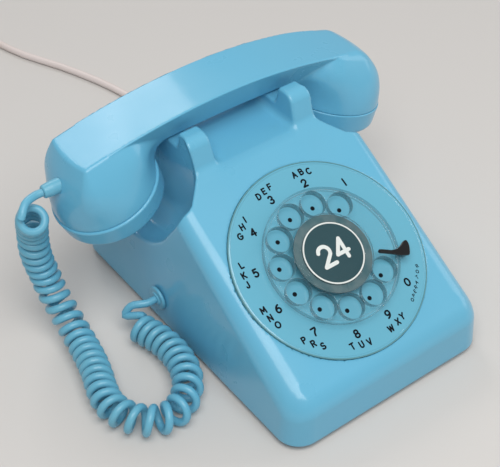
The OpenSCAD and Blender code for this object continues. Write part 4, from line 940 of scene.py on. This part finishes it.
wall_y = REAR_Y - (LINE_Z - 7.5 - RIM_Z) * TAN_REAR + 0.15
end = EXIT[1] - wall_y
bushing = piece("line_cord_bushing", *turned(
    [(0, -9), (4.4, -9), (4.4, 0), (6.5, 0), (6.5, 1.8), (3.2, end), (0, end)],
    [0, 0.3, 0, 0.5, 0.5, 0.1, 0], 36, along((LINE_X, wall_y, LINE_Z), (0, 1, 0))),
    cord_pale, "base", "cord_sleeve")
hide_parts("line_cord_grommet")

# The tie band is a rounded frame round all turns of the coil
TIE_TURN, TIE_R, TIE_HALF_WIDTH = math.radians(190), 2.2, 3
inner, outer = COIL_R - COIL_STEP * HALF_TURNS - 2.75, COIL_R - COIL_STEP / 2 + 2.75
tall = 2 * LINE_D + 0.95
left, right, bottom, top = inner + TIE_R, outer - TIE_R, TIE_R + TIE_T, tall - TIE_R + TIE_T
band = []
for r in (0.0, TIE_T):
    loop = []
    for cx, cz, a0 in ((left, bottom, 180), (right, bottom, 270), (right, top, 0), (left, top, 90)):
        for b in range(0, 91, 15):
            t = math.radians(a0 + b)
            loop.append((cx + (TIE_R + r) * math.cos(t), cz + (TIE_R + r) * math.sin(t)))
    band.append(loop)
tie_points, tie_faces, m = [], [], len(band[0])
for side in (-TIE_HALF_WIDTH, TIE_HALF_WIDTH):
    for loop in band:
        tie_points += [(COIL[0] + a * math.cos(TIE_TURN) - side * math.sin(TIE_TURN),
                        COIL[1] + a * math.sin(TIE_TURN) + side * math.cos(TIE_TURN), b + 0.1)
                       for a, b in loop]
for j in range(m):
    k = (j + 1) % m
    tie_faces += [[j, k, 2 * m + k, 2 * m + j], [m + k, m + j, 3 * m + j, 3 * m + k],
                  [k, j, m + j, m + k], [2 * m + j, 2 * m + k, 3 * m + k, 3 * m + j]]
tie = piece("cord_tie_band", tie_points, tie_faces, tie_paper, "base", "cord_sleeve", smooth=False)
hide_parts("cord_tie")
plug_at = along(line[-1], last_way * [1, 1, 0])


def rounded_box(lo, hi, r, place):
    """A box from lo to hi with rounded edges."""
    bm = bmesh.new()
    bmesh.ops.create_cube(bm, size=1)
    for v in bm.verts:
        v.co = Vector([l + (h - l) * (c + 0.5) for l, h, c in zip(lo, hi, v.co)])
    bmesh.ops.bevel(bm, geom=bm.edges[:], offset=r, segments=2, profile=0.5, affect="EDGES")
    bm.verts.index_update()
    points, faces = [list(v.co) for v in bm.verts], [[v.index for v in f.verts] for f in bm.faces]
    bm.free()
    return place(np.array(points)), faces


def plug_piece(name, lo, hi, r, finish=clear_plastic, slot="clear_plastic"):
    return piece(name, *rounded_box(lo, hi, r, plug_at), finish, "base", slot, smooth=False)


plug = plug_piece("line_plug_body", (-6, -4, 0), (6, 4, 15), 0.7)
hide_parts("line_plug")
nose = plug_piece("line_plug_nose", (-4.8, -3.3, 15), (4.8, 3.3, 22), 0.5)
latch = plug_piece("line_plug_latch", (-1.6, 4, 5), (1.6, 5.2, 18), 0.3)
contacts = [plug_piece(f"line_plug_contact_{i}", (-2.7 + 1.8 * i - 0.25, -3.9 + 0.7, 16),
                       (-2.7 + 1.8 * i + 0.25, -1.0, 21.6), 0.1, brass, "brass") for i in range(4)]

# ---------------------------------------------------------------- stage and light

floor_finish = bpy.data.materials.new("floor")
floor_finish.use_nodes = True
floor_shader = floor_finish.node_tree.nodes["Principled BSDF"]
floor_shader.inputs["Base Color"].default_value = (0.62, 0.60, 0.58, 1)
floor_shader.inputs["Roughness"].default_value = 0.75
floor_mesh = bpy.data.meshes.new("floor")
floor_mesh.from_pydata([(-4, -4, 0), (4, -4, 0), (4, 4, 0), (-4, 4, 0)], [], [(0, 1, 2, 3)])
floor_mesh.materials.append(floor_finish)
floor = bpy.data.objects.new("floor", floor_mesh)
bpy.context.scene.collection.objects.link(floor)


def softbox(name, at, aim, size, power, colour=(1, 1, 1)):
    """A rectangle of light at one point, turned to another."""
    light = bpy.data.lights.new(name, "AREA")
    light.shape = "RECTANGLE"
    light.size, light.size_y = size
    light.energy = power
    light.color = colour
    obj = bpy.data.objects.new(name, light)
    turn = (Vector(at) - Vector(aim)).to_track_quat("Z", "Y")
    obj.matrix_world = Matrix.Translation(at) @ turn.to_matrix().to_4x4()
    bpy.context.scene.collection.objects.link(obj)


softbox("key", (-0.26, -0.58, 1.26), (0, 0, 0.05), (1.10, 1.00), 15.5, (1.0, 0.98, 0.95))
softbox("fill", (1.15, -0.35, 0.45), (0, 0, 0.05), (0.7, 0.7), 2.5)
softbox("window", (0.26, 1.19, 1.19), (-0.06, 0.05, 0.13), (0.62, 0.50), 4.5, (1.0, 0.97, 0.94))

world = bpy.data.worlds.new("world")
bpy.context.scene.world = world
world.use_nodes = True
world.node_tree.nodes["Background"].inputs["Color"].default_value = (0.80, 0.82, 0.85, 1)
world.node_tree.nodes["Background"].inputs["Strength"].default_value = 0.42
bpy.context.scene.view_settings.view_transform = "Standard"
